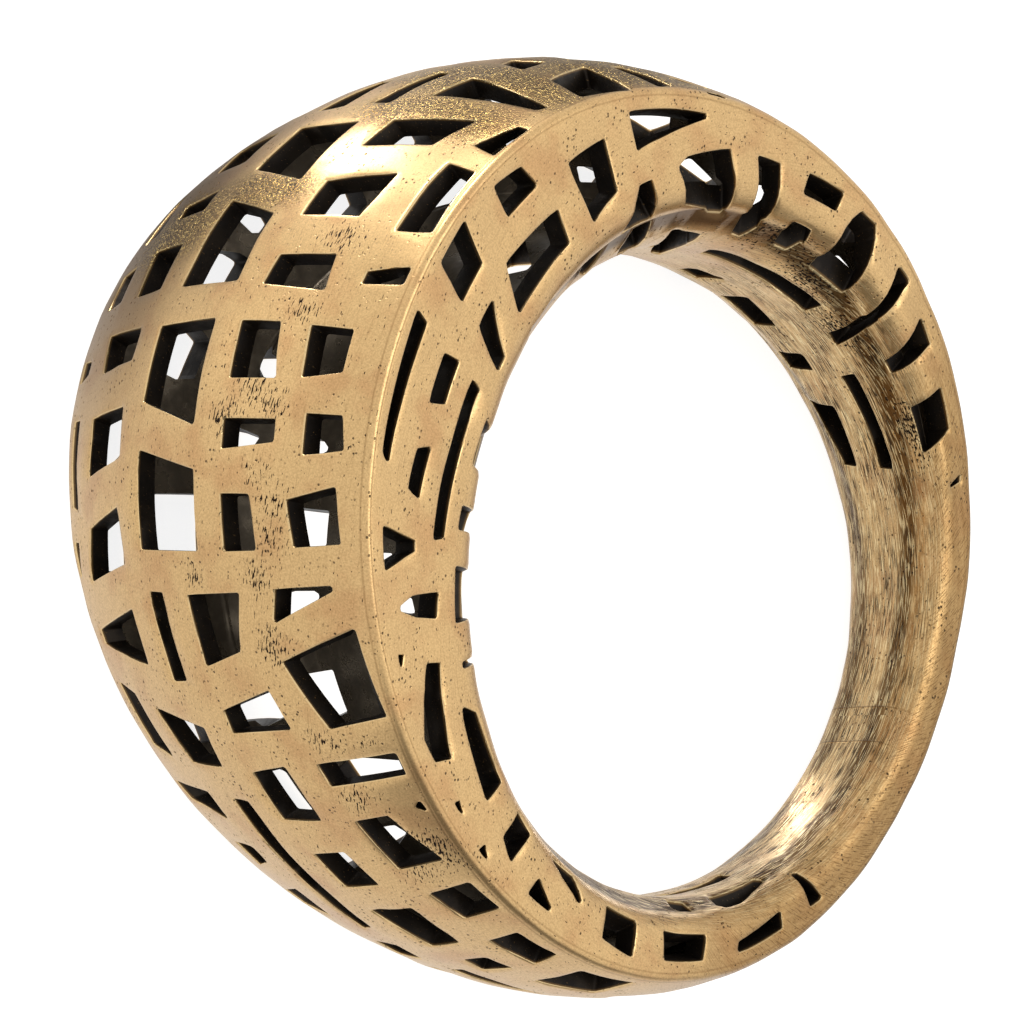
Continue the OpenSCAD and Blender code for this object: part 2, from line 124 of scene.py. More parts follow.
# The centre line: slots on the flanks and large gaps over the crown
DOME_CENTRE: tuple[Corners, ...] = (
    ((-98, -0.6), (-100, 0), (-87, -0.2), (-87.2, -0.8)),
    ((-75.4, -1.6), (-74.5, -1.0), (-52.3, -1.0), (-52, -1.7)),
    ((-37.7, -1.6), (-37.7, -1.0), (-28.6, -1.0), (-28.4, -1.6)),
    ((-24.3, -1.7), (-24.7, 0.8), (-17, 0.8), (-14.8, -1.7)),
    ((-10.2, -1.7), (-12.8, 0.7), (-2.4, 0.7), (-2.7, -1.7)),
    ((1.3, -1.4), (1.5, 1.0), (9.2, 1.0), (11.4, -1.3)),
    ((15.6, -1.3), (13.6, 1.1), (22.8, 1.1), (22.4, -1.3)),
    ((26.8, 0.5), (26.8, 1.1), (35.2, 1.1), (35.4, 0.6)),
    ((26.4, -1.8), (26.4, -0.6), (33.6, -0.7), (35, -1.8)),
    ((40, -1.0), (39.5, -0.2), (58, -0.2), (58.5, -0.9)),
    ((64, 0.5), (68.5, 0.4), (76, -1.6), (76, -2.4), (72, -2.4), (65, -0.5)),
    ((87.4, -0.5), (88.2, -0.1), (93, -1.4), (96.2, -2.4), (95, -2.6), (91, -1.6)),
    ((102.4, -0.1), (102.4, 0.4), (104.9, 0.5), (108.5, -0.8), (106, -1.3)),
    ((-83.5, -2.2), (-83.5, -1.1), (-79.5, -1.1), (-79.5, -2.2)),
)
# The band just below the middle
DOME_LOW: tuple[Corners, ...] = (
    ((-99, -2.3), (-98, -1.5), (-88, -1.6), (-89, -2.6)),
    ((-73, -4.0), (-74, -2.8), (-67.7, -2.8), (-70, -4.2)),
    ((-63.7, -3.6), (-62.5, -2.8), (-60, -2.8), (-59.8, -3.8)),
    ((-47.3, -2.6), (-47.7, -1.2), (-43, -1.1), (-40.8, -3.3)),
    ((-53.6, -4.7), (-55.3, -2.8), (-51.5, -2.9), (-51, -5.0)),
    ((-33.8, -5.3), (-36, -2.7), (-30.1, -2.7), (-32.3, -5.3)),
    ((-27.2, -5.0), (-25.6, -2.7), (-20, -2.8), (-21.8, -4.6)),
    ((-16.7, -4.6), (-15.3, -2.7), (-10.3, -2.8), (-10.9, -4.6)),
    ((-6.3, -4.5), (-5.7, -2.8), (-2.4, -2.8), (-2.3, -4.7)),
    ((1.4, -3.8), (1.5, -2.5), (6.8, -2.5), (6.8, -4.0)),
    ((10.8, -3.9), (10.8, -2.5), (13.7, -2.5), (12.8, -4.1)),
    ((18, -4.1), (17.8, -2.5), (23, -2.5), (22.5, -4.4)),
    ((28, -4.6), (27.5, -2.8), (35, -2.8), (33, -4.9)),
    ((41, -3.2), (40.5, -2.0), (49, -2.0), (48.5, -3.6)),
    ((52, -3.2), (51.5, -1.6), (54, -1.9), (60, -4.0), (58.5, -4.4)),
    ((62, -3.4), (61.5, -1.9), (68.5, -2.1), (69, -3.2)),
    ((80, -2.9), (80, -1.5), (87, -1.7), (88, -2.7)),
    ((99, -2.6), (98, -1.6), (103, -1.6), (104, -2.4)),
)
# The band along the lower edge
DOME_LOWER: tuple[Corners, ...] = (
    ((-46, -4.9), (-47.2, -3.8), (-39.4, -4.3), (-38.2, -5.3)),
    ((-28.3, -5.9), (-23.1, -5.6), (-22.9, -6.0)),
    ((-19.3, -6.0), (-19.8, -5.6), (-10.5, -5.7), (-10.4, -6.1)),
    ((1.4, -5.8), (1.6, -4.9), (6, -5.0), (5.6, -5.9)),
    ((9.8, -5.9), (10, -5.0), (17, -5.3), (16.4, -6.0)),
    ((40, -5.2), (39, -4.2), (46, -4.2), (47, -5.0)),
    ((-6.4, -6.3), (-5.7, -5.7), (-4.2, -5.75), (-4, -6.3)),
)

# Gaps of the upper side wall. Columns of a corner: degrees from the crown, radius in millimetres.
UPPER_WALL: tuple[Corners, ...] = (
    ((-52, 11.6), (-51.2, 12.2), (-47.8, 12.4), (-38.8, 11.9), (-39.3, 11.4)),
    ((-33.4, 11.4), (-32.8, 12.2), (-31.6, 12.9), (-30.2, 12.3), (-30, 11.3)),
    ((-27.2, 13.4), (-22.2, 13.6), (-23.6, 12.3), (-24.9, 12.3)),
    ((-22.9, 11.2), (-23.3, 11.6), (-1.4, 11.4), (-2, 11.0)),
    ((-15.8, 13.7), (-14.5, 14.0), (1.2, 14.2), (0.6, 13.7)),
    ((-18.6, 12.3), (-17.6, 12.8), (-12.8, 12.7), (-12, 12.2)),
    ((-6.4, 12.1), (-7.2, 12.7), (-0.9, 12.7), (-0.6, 12.1)),
    ((1.8, 10.6), (5, 11.9), (9.2, 11.9), (4.4, 10.6)),
    ((5.6, 12.8), (7.1, 14.1), (12.8, 14.1), (11.2, 12.8)),
    ((10.8, 10.8), (14, 12.1), (25.6, 11.8), (24.9, 10.8)),
    ((18, 12.9), (18.5, 13.9), (23.2, 13.6), (24.2, 12.8)),
    ((30.7, 10.7), (30.1, 12.6), (37.2, 12.5), (37, 11)),
    ((42.5, 11.7), (42.4, 12.8), (58.3, 12.0), (50, 11.8)),
    ((78.4, 10.35), (78.8, 10.95), (87, 11), (86.4, 10.4)),
    ((-145, 10), (-142, 10), (-141.2, 8.7), (-142.5, 8.9)),
    ((-135, 9.6), (-134.8, 10.1), (-124, 10.3), (-124.5, 10)),
    ((-116.6, 9.7), (-116.2, 10.4), (-107.5, 10.5), (-106.5, 9.7)),
    ((-99.8, 9.7), (-100.4, 10.7), (-93.2, 10.6), (-92.4, 9.7)),
    ((-70.8, 10), (-70.6, 11.1), (-66.8, 10.9), (-66.2, 10)),
    ((-60.2, 10.1), (-60.7, 10.9), (-46.2, 10.8), (-48.2, 10.3)),
    ((-82.6, 11.0), (-76.2, 11.2), (-76.5, 10.6)),
    ((-67.5, 11.75), (-65, 11.85), (-65.3, 11.55)),
    ((-60.2, 11.85), (-57.4, 12.0), (-57.6, 11.8)),
    ((-38.8, 12.9), (-36.8, 12.95), (-37, 12.75)),
    ((138.4, 10.15), (139.6, 10.1), (140.2, 9.4)),
    ((-87.2, 10.3), (-76, 9.75), (-83.5, 9.6)),
)
# Gaps that start on the upper side wall and run over the mouth into the sleeve.
# A row holds its corners on the wall, in degrees and radius, and then those on the sleeve, in degrees and
# height.
UPPER_MOUTH: tuple[tuple[Corners, Corners], ...] = (
    (((-41.2, 10.55), (-40.2, 10.5)), ((-40.2, 4.4), (-41.4, 4.3))),
    (((-34.6, 10.65), (-26.5, 10.65)), ((-27.3, 4.6), (-34.4, 4.4))),
    (((-21.5, 10.65), (-18, 10.6)), ((-18.2, 4.9), (-21.6, 4.6))),
    (((-12, 10.5), (-5, 10.4)), ((-6, 4.6), (-12.6, 4.6))),
    (((41.5, 10.8), (44.3, 10.8)), ((45.5, 4.4), (41, 4.4), (37.5, 4.7))),
    (((50.4, 10.85), (52.6, 11.05), (61.3, 11.1)), ((64.8, 3.5), (61.4, 3.6), (52.6, 4.5))),
    (((67.3, 11), (72.3, 10.9)), ((74.4, 3.1), (72.6, 2.75), (70.3, 2.85))),
    (((89.6, 10.1), (90.3, 10.5), (91.6, 10.9), (95.3, 10.9), (96.4, 10.6)), ((99.3, 2.35), (90, 2.5))),
    (((103.2, 10.65), (106.4, 10.65)), ((107, 2.3), (105.2, 2.5))),
    (((112.3, 10.4), (117, 10.3)), ((117.5, 2.0), (115, 2.0))),
    (((124, 10.1), (130.8, 10)), ((133, 2.0), (124.5, 2.1))),
)
# Gaps of the lower side wall, which the ring lies on, in the columns of the upper one
LOWER_WALL: tuple[Corners, ...] = (
    ((-26, 12.75), (-26, 14.0), (-20, 14.1), (-19.6, 12.75)),
    ((-14.4, 14.15), (-9.5, 14.3), (-8.3, 13.9), (-7.5, 13.2), (-12, 13.0), (-13.8, 13.3)),
    ((-24.2, 10.6), (-24.2, 12.3), (-16.5, 12.5), (-14.9, 10.7)),
    ((-1.8, 12.5), (-1.8, 12.9), (2.6, 13.1), (5.5, 12.4), (4.9, 12.0), (-0.6, 12.0)),
    ((-48.6, 11.7), (-47.5, 12.55), (-44.1, 12.85), (-45, 11.7)),
    ((-75.6, 10.0), (-74.2, 10.6), (-72.6, 10.85), (-70.4, 10.75), (-72, 10.0)),
    ((-65.6, 9.9), (-61.5, 11.1), (-55, 11.1), (-57, 9.9)),
    ((10, 12.8), (10, 13.4), (14, 13.4), (16.6, 12.6), (17, 12.2), (13.3, 12.1)),
    ((19.6, 12.7), (19.4, 13.6), (21.8, 13.6), (23.9, 12.8), (23.6, 12.3), (22, 12.25)),
    ((41.8, 12.7), (44, 12.95), (47.6, 12.5), (48.1, 12.15), (47, 11.9), (44.4, 12.0)),
    ((43.4, 10.3), (43.6, 10.7), (49.5, 11.2), (56.7, 11.15), (52.4, 10.3), (47.5, 10.1)),
    ((69, 11.2), (69.6, 10.7), (74, 10.8), (75.2, 11.15), (72, 11.3)),
    ((27, 10.9), (28, 12.6), (36, 12.3), (35.5, 11.3)),
    ((58, 12.2), (64, 12.1), (64, 11.4), (59, 11.4)),
)
# Gaps that run from the lower side wall over the mouth into the sleeve, in the columns of the upper ones
LOWER_MOUTH: tuple[tuple[Corners, Corners], ...] = (
    (((-47.6, 10.85), (-44.6, 10.9)), ((-44.2, -3.7), (-48.8, -3.5), (-49.7, -4.2))),
    (((90, 10.5), (96, 10.4)), ((94.5, -2.8), (88, -2.9))),
)

# Gaps of the finger sleeve. Columns of a corner: degrees from the crown, millimetres up from the mid plane.
SLEEVE: tuple[Corners, ...] = (
    ((29.5, 4.1), (30, 4.4), (36, 4.35), (33, 3.5)),
    ((41.7, 3.6), (43, 4.1), (47.4, 4.0), (50, 2.6), (44, 2.9)),
    ((55, 3.3), (64, 2.8), (66, 1.7), (61.5, 1.1), (57, 2.5)),
    ((64.5, 2.2), (66.5, 1.7), (72.5, -0.5), (70, -0.4), (60.5, 1.5)),
    ((62, 0.35), (70.5, -1.7), (69, -1.85), (62, -0.3)),
    ((72, 1.75), (99.3, 1.75), (99.5, 1.05), (74, 0.95)),
    ((79, 3.7), (83.7, 3.6), (85.2, 3.0), (83.5, 2.65), (80.5, 2.7)),
    ((82.5, -0.65), (88.3, -0.4), (86.3, -1.4), (82, -1.35)),
    ((94.3, -0.5), (103, -0.6), (102.6, -1.5), (93.6, -1.6)),
    ((105.2, 2.75), (107.1, 2.65), (109, 1.05), (105.8, 1.15)),
    ((110.3, -0.5), (114.3, -0.5), (113.6, -1.5), (109.6, -1.5)),
    ((122, -0.45), (134, -0.45), (133.5, -0.95), (121, -1.65)),
    ((115.5, 1.05), (134.8, 1.0), (134.3, 0.5), (115.8, 0.5)),
    ((-137.2, 1.35), (-128, 2.0), (-124.5, 2.05), (-124, 1.4), (-136, 1.15)),
    ((-136.5, 0.25), (-119, 0.5), (-119, 0.1), (-137, -0.35)),
    ((-118, 1.95), (-113, 1.9), (-114, 1.5), (-117, 1.6)),
    ((-15.3, -3.7), (-16.5, -1.5), (-22.2, -1.5), (-22.3, -3.4)),
    ((-42.3, -1.7), (-49.6, -1.6), (-52, -3.05), (-45.5, -3.75), (-43, -3.4)),
    ((-57.6, -2.2), (-58.6, -0.2), (-60.2, -0.2), (-63.5, -1.4), (-63.8, -2.9), (-59.5, -3.0)),
    ((-29.2, -3.3), (-29.4, -2.0), (-30.3, -1.7), (-33.8, -3.0), (-34, -3.9), (-30.2, -3.9)),
    ((-70.9, -2.7), (-71.4, -2.1), (-73.4, -1.9), (-76.5, -2.8), (-76, -3.3), (-73.2, -3.3)),
    ((-7.5, -4.9), (-7.2, -4.4), (-5, -4.3), (-3.9, -5.2), (-4, -5.8), (-6.4, -5.7)),
    ((4.1, -4.8), (4.2, -4.4), (6, -4.3), (7.5, -4.5), (9.4, -5.25), (8.4, -5.6), (5.8, -5.5)),
    ((-7.1, -2.9), (-7, -2.3), (-6.2, -2.0), (-4.8, -2.3), (-3, -3.1), (-3, -3.9), (-5.2, -3.9)),
    ((-31.1, 2.1), (-33.6, 2.2), (-34, 1.1), (-33.4, 0.4), (-31.4, 0.9)),
    ((30, 1.0), (31, 1.75), (32.6, 1.65), (44.6, -0.8), (44.2, -1.6), (41, -1.4)),
    ((14.8, 2.4), (15.5, 2.6), (18.8, 2.1), (24.8, 0.7), (24.2, 0.3), (20.4, 0.8)),
    ((-23.8, 1.3), (-25.2, 1.3), (-25.1, 0.0), (-23.3, -0.1)),
    ((11, 5.5), (19, 5.3), (19, 4.7), (12, 4.7)),
    ((-16, -0.4), (-15, 1.6), (-4, 1.8), (-3, -0.3)),
    ((-52, 2.6), (-52, 3.6), (-45, 3.6), (-44, 2.4)),
    ((6, -2.4), (6, -0.6), (16, -0.8), (16, -2.2)),
)

# Patches of the dome where pits full of oxide crowd, by height above the mid plane
PITTED_DOME: tuple[Patch, ...] = (
    (7.0, 3.9, 2.6, 0.9),
    (-1.2, 3.75, 2.2, 0.9),
    (-9.4, 2.7, 3.0, 0.8),
    (-10.6, 3.6, 2.4, 0.6),
    (-12.2, 1.8, 2.4, 0.8),
    (-17.4, 3.1, 2.4, 0.5),
    (-20.6, 3.6, 2.6, 0.6),
    (-23.8, 3.5, 2.8, 0.7),
    (-27.4, 2.8, 2.8, 0.7),
    (-27.0, 0.6, 1.8, 0.5),
    (-34.3, 2.8, 3.2, 0.7),
    (-45.6, 3.1, 2.2, 0.7),
    (-46.2, 4.3, 1.2, 0.6),
    (-53.2, 3.1, 3.0, 0.7),
    (-62.0, 4.2, 6.0, 0.8),
    (-65.2, 3.2, 1.8, 1.2),
)
# Patches of the sleeve where they crowd, by height above the mid plane
PITTED_SLEEVE: tuple[Patch, ...] = (
    (80, 3.0, 12, 0.8),
    (92, 2.3, 12, 0.9),
    (105, 1.6, 9, 0.8),
    (128, 1.9, 12, 0.6),
)
# Patches of the dome that keep the coarse glittering skin of the casting, by height above the mid plane
GRAINY_DOME: tuple[Patch, ...] = (
    (12.6, 0.0, 3.5, 2.6),
    (25.5, 3.0, 5.5, 3.6),
    (34.5, 2.8, 6.5, 4.4),
    (9.0, -3.2, 6.0, 2.6),
    (49.0, 4.2, 13.0, 4.0),
)


@dataclass(frozen=True)
class Section:
    """Sizes of the ring's section at one angle from the crown, in millimetres.

    A run is the distance along the section's outline: 0 at the middle of the dome, then up over the upper
    edge, down the upper side wall, round the mouth and along the sleeve, and back by the lower half.

    Attributes:
        edge_radius: Radius of the sharp edge between the dome and a side wall.
        dome_rise: How far the dome rises above its edges.
        flare: How far the sleeve flares out at its mouths.
        mouth_radius: Radius of the sleeve at its mouths.
        mouth_round: Radius that rounds a mouth into the side wall.
        half_width_at_axis: Half the width between the side walls on the finger's axis.
        width_slope: How much that half grows for each millimetre of radius.
    """

    edge_radius: float
    dome_rise: float
    flare: float
    mouth_radius: float
    mouth_round: float
    half_width_at_axis: float
    width_slope: float

    def half_width(self, radius: float) -> float:
        """Half the width between the side walls at a radius."""
        return self.half_width_at_axis + self.width_slope * radius

    @property
    def edge_run(self) -> float:
        """Run at the sharp edge, which is the half width there."""
        return self.half_width(self.edge_radius)

    @property
    def wall_foot(self) -> float:
        """Radius where the side wall turns into the mouth."""
        return self.mouth_radius + self.mouth_round

    @property
    def foot_run(self) -> float:
        """Run at the foot of the side wall."""
        return self.edge_run + self.edge_radius - self.wall_foot

    @property
    def sleeve_half_width(self) -> float:
        """Half the width of the sleeve between the roundings of its mouths."""
        return self.half_width(self.mouth_radius) - self.mouth_round

    @property
    def sleeve_run(self) -> float:
        """Run where the sleeve starts."""
        return self.foot_run + self.mouth_round * math.pi / 2

    @property
    def half_round(self) -> float:
        """Run at the middle of the sleeve, half way round the section."""
        return self.sleeve_run + self.sleeve_half_width


@dataclass(frozen=True)
class RingForm:
    """Driving sizes of the ring in millimetres, and the surfaces that follow from them.

    The flare, the edge and the dome's rise each swell once round the ring toward the crown, and two or three
    times by their smaller terms.

    Attributes:
        finger_radius: Radius of the finger hole where it is narrowest.
        flare_mean, flare_crown, flare_oval: Terms of the sleeve's flare.
        flare_least: The least flare that is kept.
        flare_power: Power of the flare's curve from the middle of the sleeve to its mouths.
        mouth_round: Radius that rounds each mouth into the flat side wall.
        edge_mean, edge_crown, edge_oval, edge_third: Terms of the sharp edge's radius.
        rise_mean, rise_crown, rise_oval: Terms of the dome's rise.
        mid_half_width: Half the width between the side walls on the finger's axis.
        wall_slope: Rise of each side wall for each millimetre toward the crown.
        dome_wall, side_wall, sleeve_wall: Thicknesses of the three kinds of wall.
        hollow_end: Degrees from the crown where the hollow ends and the solid back begins.
        edge_soft: Reach of the rounding that softens the sharp edge.
        corner_reach: Reach of the hollow's tapered corner under that edge.
        corner_rounds: Rounds in which the hollow's corner is worked out, until it no longer moves.
    """

    finger_radius: float = 8.65
    flare_mean: float = 0.60
    flare_crown: float = 0.52
    flare_oval: float = -0.07
    flare_least: float = 0.02
    flare_power: float = 5
    mouth_round: float = 0.85
    edge_mean: float = 11.9
    edge_crown: float = 2.05
    edge_oval: float = 0.51
    edge_third: float = 0.19
    rise_mean: float = 0.76
    rise_crown: float = 0.57
    rise_oval: float = 0.13
    mid_half_width: float = 3.58
    wall_slope: float = 0.206
    dome_wall: float = 0.6
    side_wall: float = 0.8
    sleeve_wall: float = 0.75
    hollow_end: float = 148.5
    edge_soft: float = 0.17
    corner_reach: float = 1.2
    corner_rounds: int = 4

    @lru_cache(maxsize=4096)
    def section(self, angle: float) -> Section:
        """The section's sizes at an angle.

        Args:
            angle: Degrees from the crown.

        Returns:
            The sizes of the section there.
        """
        first = math.cos(math.radians(angle))
        second = math.cos(math.radians(2 * angle))
        third = math.cos(math.radians(3 * angle))
        flare = self.flare_mean + self.flare_crown * first + self.flare_oval * second
        flare = max(self.flare_least, flare)
        edge = self.edge_mean + self.edge_crown * first + self.edge_oval * second + self.edge_third * third
        return Section(
            edge_radius=edge,
            dome_rise=self.rise_mean + self.rise_crown * first + self.rise_oval * second,
            flare=flare,
            mouth_radius=self.finger_radius + flare,
            mouth_round=self.mouth_round,
            half_width_at_axis=self.mid_half_width,
            width_slope=self.wall_slope * first,
        )

    def dome_radius(self, section: Section, height: float) -> float:
        """Radius of the dome at a height above the mid plane."""
        return section.edge_radius + section.dome_rise * (1 - (height / section.edge_run) ** 2)

    def sleeve_radius(self, section: Section, height: float) -> float:
        """Radius of the sleeve's inside at a height above the mid plane."""
        share = abs(height) / section.sleeve_half_width
        return self.finger_radius + section.flare * share**self.flare_power

    def sharp_skin(self, section: Section, run: float) -> Vector:
        """Point of the upper half of the section's outline, with a sharp edge.

        Args:
            section: Sizes of the section.
            run: Distance along the outline, from 0 to the half round.

        Returns:
            Its radius and height.
        """
        if run <= section.edge_run:
            return Vector((self.dome_radius(section, run), run))
        if run <= section.foot_run:
            radius = section.edge_radius - (run - section.edge_run)
            return Vector((radius, section.half_width(radius)))
        if run < section.sleeve_run:
            turn = (section.sleeve_run - run) / section.mouth_round
            radius = section.wall_foot - section.mouth_round * math.cos(turn)
            rise = section.half_width(radius) - section.sleeve_half_width
            return Vector((radius, section.sleeve_half_width + rise * math.sin(turn)))
        height = section.half_round - run
        return Vector((self.sleeve_radius(section, height), height))

    def soft_skin(self, section: Section, run: float) -> Vector:
        """Point of the upper half of the outline, with the edge rounded over.

        Args:
            section: Sizes of the section.
            run: Distance along the outline, from 0 to the half round.

        Returns:
            Its radius and height.
        """
        start = section.edge_run - self.edge_soft
        share = (run - start) / (2 * self.edge_soft)
        if not 0 < share < 1:
            return self.sharp_skin(section, run)
        before = self.sharp_skin(section, start)
        corner = self.sharp_skin(section, section.edge_run)
        after = self.sharp_skin(section, start + 2 * self.edge_soft)
        return before * (1 - share) ** 2 + corner * 2 * share * (1 - share) + after * share**2

    def inner_corner(self, section: Section) -> Vector:
        """Radius and height of the hollow's corner under the sharp edge.

        Args:
            section: Sizes of the section.

        Returns:
            The corner of the upper half.
        """
        height = section.edge_run - self.side_wall
        for _ in range(self.corner_rounds):
            radius = self.dome_radius(section, height) - self.dome_wall
            height = section.half_width(radius) - self.side_wall
        return Vector((radius, height))

    def inner_skin(self, section: Section, run: float) -> Vector:
        """Point of the hollow's upper half that lies behind a point of the outline.

        Args:
            section: Sizes of the section.
            run: Distance along the outline, from 0 to the half round.

        Returns:
            Radius and height of the hollow's point.
        """
        corner = self.inner_corner(section)
        if run <= section.edge_run:
            taper_start = section.edge_run - self.corner_reach
            height = run
            if run > taper_start:
                share = (run - taper_start) / self.corner_reach
                height = taper_start + share * (corner.y - taper_start)
            return Vector((self.dome_radius(section, height) - self.dome_wall, height))
        if run <= section.foot_run:
            radius = section.edge_radius - (run - section.edge_run)
            reach = min(self.corner_reach, section.edge_radius - section.wall_foot)
            taper_start = section.edge_radius - reach
            if radius > taper_start:
                share = (radius - taper_start) / reach
                radius = taper_start + share * (corner.x - taper_start)
            return Vector((radius, section.half_width(radius) - self.side_wall))
        if run < section.sleeve_run:
            turn = (section.sleeve_run - run) / section.mouth_round
            radius = section.wall_foot - (section.mouth_round - self.sleeve_wall) * math.cos(turn)
            rise = section.half_width(radius) - self.side_wall - section.sleeve_half_width
            return Vector((radius, section.sleeve_half_width + rise * math.sin(turn)))
        height = section.half_round - run
        return Vector((self.sleeve_radius(section, height) + self.sleeve_wall, height))

    def point(self, angle: float, run: float, trace: Callable[[Section, float], Vector]) -> Vector:
        """Point in the ring's own frame: X to the crown, Z along the finger's axis.

        Args:
            angle: Degrees from the crown.
            run: Distance along the outline of the section.
            trace: The surface to follow, soft_skin or inner_skin.

        Returns:
            The point, in millimetres.
        """
        section = self.section(angle)
        side = 1.0
        if run > section.half_round:
            run = 2 * section.half_round - run
            side = -1.0
        if run < 0:
            run = -run
            side = -1.0
        place = trace(section, run)
        turn = math.radians(angle)
        return Vector((place.x * math.cos(turn), -place.x * math.sin(turn), side * place.y))


def ramp(value: float, start: float, end: float) -> float:
    """Smooth rise from 0 at the start to 1 at the end."""
    share = min(1.0, max(0.0, (value - start) / (end - start)))
    return share * share * (3 - 2 * share)


def crowding(angle: float, reading: float, patches: Iterable[Patch]) -> float:
    """How deep a place lies in any of the patches.

    Args:
        angle: The place's degrees from the crown.
        reading: What the patches are charted in, at the place.
        patches: The patches.

    Returns:
        1 at the middle of a patch, down to 0 at its border and outside all of them.
    """
    return max(
        0.0, *(1 - math.hypot((angle - at) / wide, (reading - up) / high) for at, up, wide, high in patches)
    )


class Zone(Enum):
    """A zone of the casting, in whose own readings its gaps are charted."""

    DOME = "height above the mid plane, on the dome"
    UPPER_WALL = "radius on the upper side wall"
    LOWER_WALL = "radius on the lower side wall"
    SLEEVE = "height above the mid plane, on the sleeve"

    def reading(self, section: Section, run: float) -> float:
        """What the zone's gaps are charted in, at a run.

        Args:
            section: Sizes of the section.
            run: Distance along its outline.

        Returns:
            The reading, in millimetres.
        """
        if self is Zone.DOME:
            return run
        if self is Zone.UPPER_WALL:
            return section.edge_radius + section.edge_run - run
        if self is Zone.LOWER_WALL:
            return section.edge_radius + section.edge_run - 2 * section.half_round + run
        return section.half_round - run

    def run(self, section: Section, reading: float) -> float:
        """The run at a reading.

        Args:
            section: Sizes of the section.
            reading: What the zone's gaps are charted in, in millimetres.

        Returns:
            The run, in millimetres.
        """
        if self is Zone.LOWER_WALL:
            return reading - section.edge_radius - section.edge_run + 2 * section.half_round
        # In the other zones the same sum turns a run into its reading and back
        return self.reading(section, reading)


@dataclass(frozen=True)
class Side:
    """One straight side of a gap on the chart.

    Attributes:
        out: Direction out of the gap, stretched so that it turns a place on the chart to true millimetres.
        reach: How far out the side lies, in true millimetres.
    """

    out: Vector
    reach: float

    def past(self, place: Vector) -> float:
        """How far a place on the chart lies outside this side, in millimetres."""
        return self.out.x * place.x + self.out.y * place.y - self.reach


@dataclass(frozen=True)
class Outline:
    """A gap's convex outline with rounded corners, as the straight sides that bound it.

    Attributes:
        sides: The straight sides and the short ones that round its corners.
        low: Where it begins along the chart's first axis.
        high: Where it ends there.
    """

    sides: tuple[Side, ...]
    low: float
    high: float

    def past(self, place: Vector) -> float:
        """How far a place on the chart lies outside the outline, in millimetres."""
        return max(side.past(place) for side in self.sides)


@dataclass(frozen=True)
class GapMaker:
    """Turns the corners of a gap into its rounded outline.

    Attributes:
        corner_round: Radius of a gap's corners in millimetres.
        corner_steps: Straight steps that each corner's rounding has between its two sides.
    """

    corner_round: float = 0.08
    corner_steps: int = 2

    def outline(self, corners: Corners, per_degree: float) -> Outline:
        """The rounded outline of a gap.

        Args:
            corners: Corners in order, each in degrees and millimetres.
            per_degree: True millimetres for each degree at the gap.

        Returns:
            The outline on the chart.
        """
        stretch = per_degree / CHART_PER_DEGREE
        places = [Vector((angle * per_degree, reading)) for angle, reading in corners]
        pairs = list(zip(places, places[1:] + places[:1]))
        area = sum(a.x * b.y - b.x * a.y for a, b in pairs) / 2
        if area < 0:
            places.reverse()
            pairs = list(zip(places, places[1:] + places[:1]))
        length = sum((b - a).length for a, b in pairs)
        # A small gap is rounded less, so that something is left of its sides
        rounding = min(self.corner_round, abs(area) / length)
        normals = [Vector((b.y - a.y, a.x - b.x)).normalized() for a, b in pairs]
        sides = [Side(Vector((n.x * stretch, n.y)), n.dot(a)) for n, (a, _) in zip(normals, pairs)]
        for index, corner in enumerate(places):
            before = normals[index - 1]
            after = normals[index]
            inset = (before + after) / (1 + before.dot(after))
            centre = corner - inset * rounding
            for step in range(1, self.corner_steps + 1):
                out = before.slerp(after, step / (self.corner_steps + 1))
                sides.append(Side(Vector((out.x * stretch, out.y)), out.dot(centre) + rounding))
        angles = [angle * CHART_PER_DEGREE for angle, _ in corners]
        return Outline(tuple(sides), min(angles), max(angles))


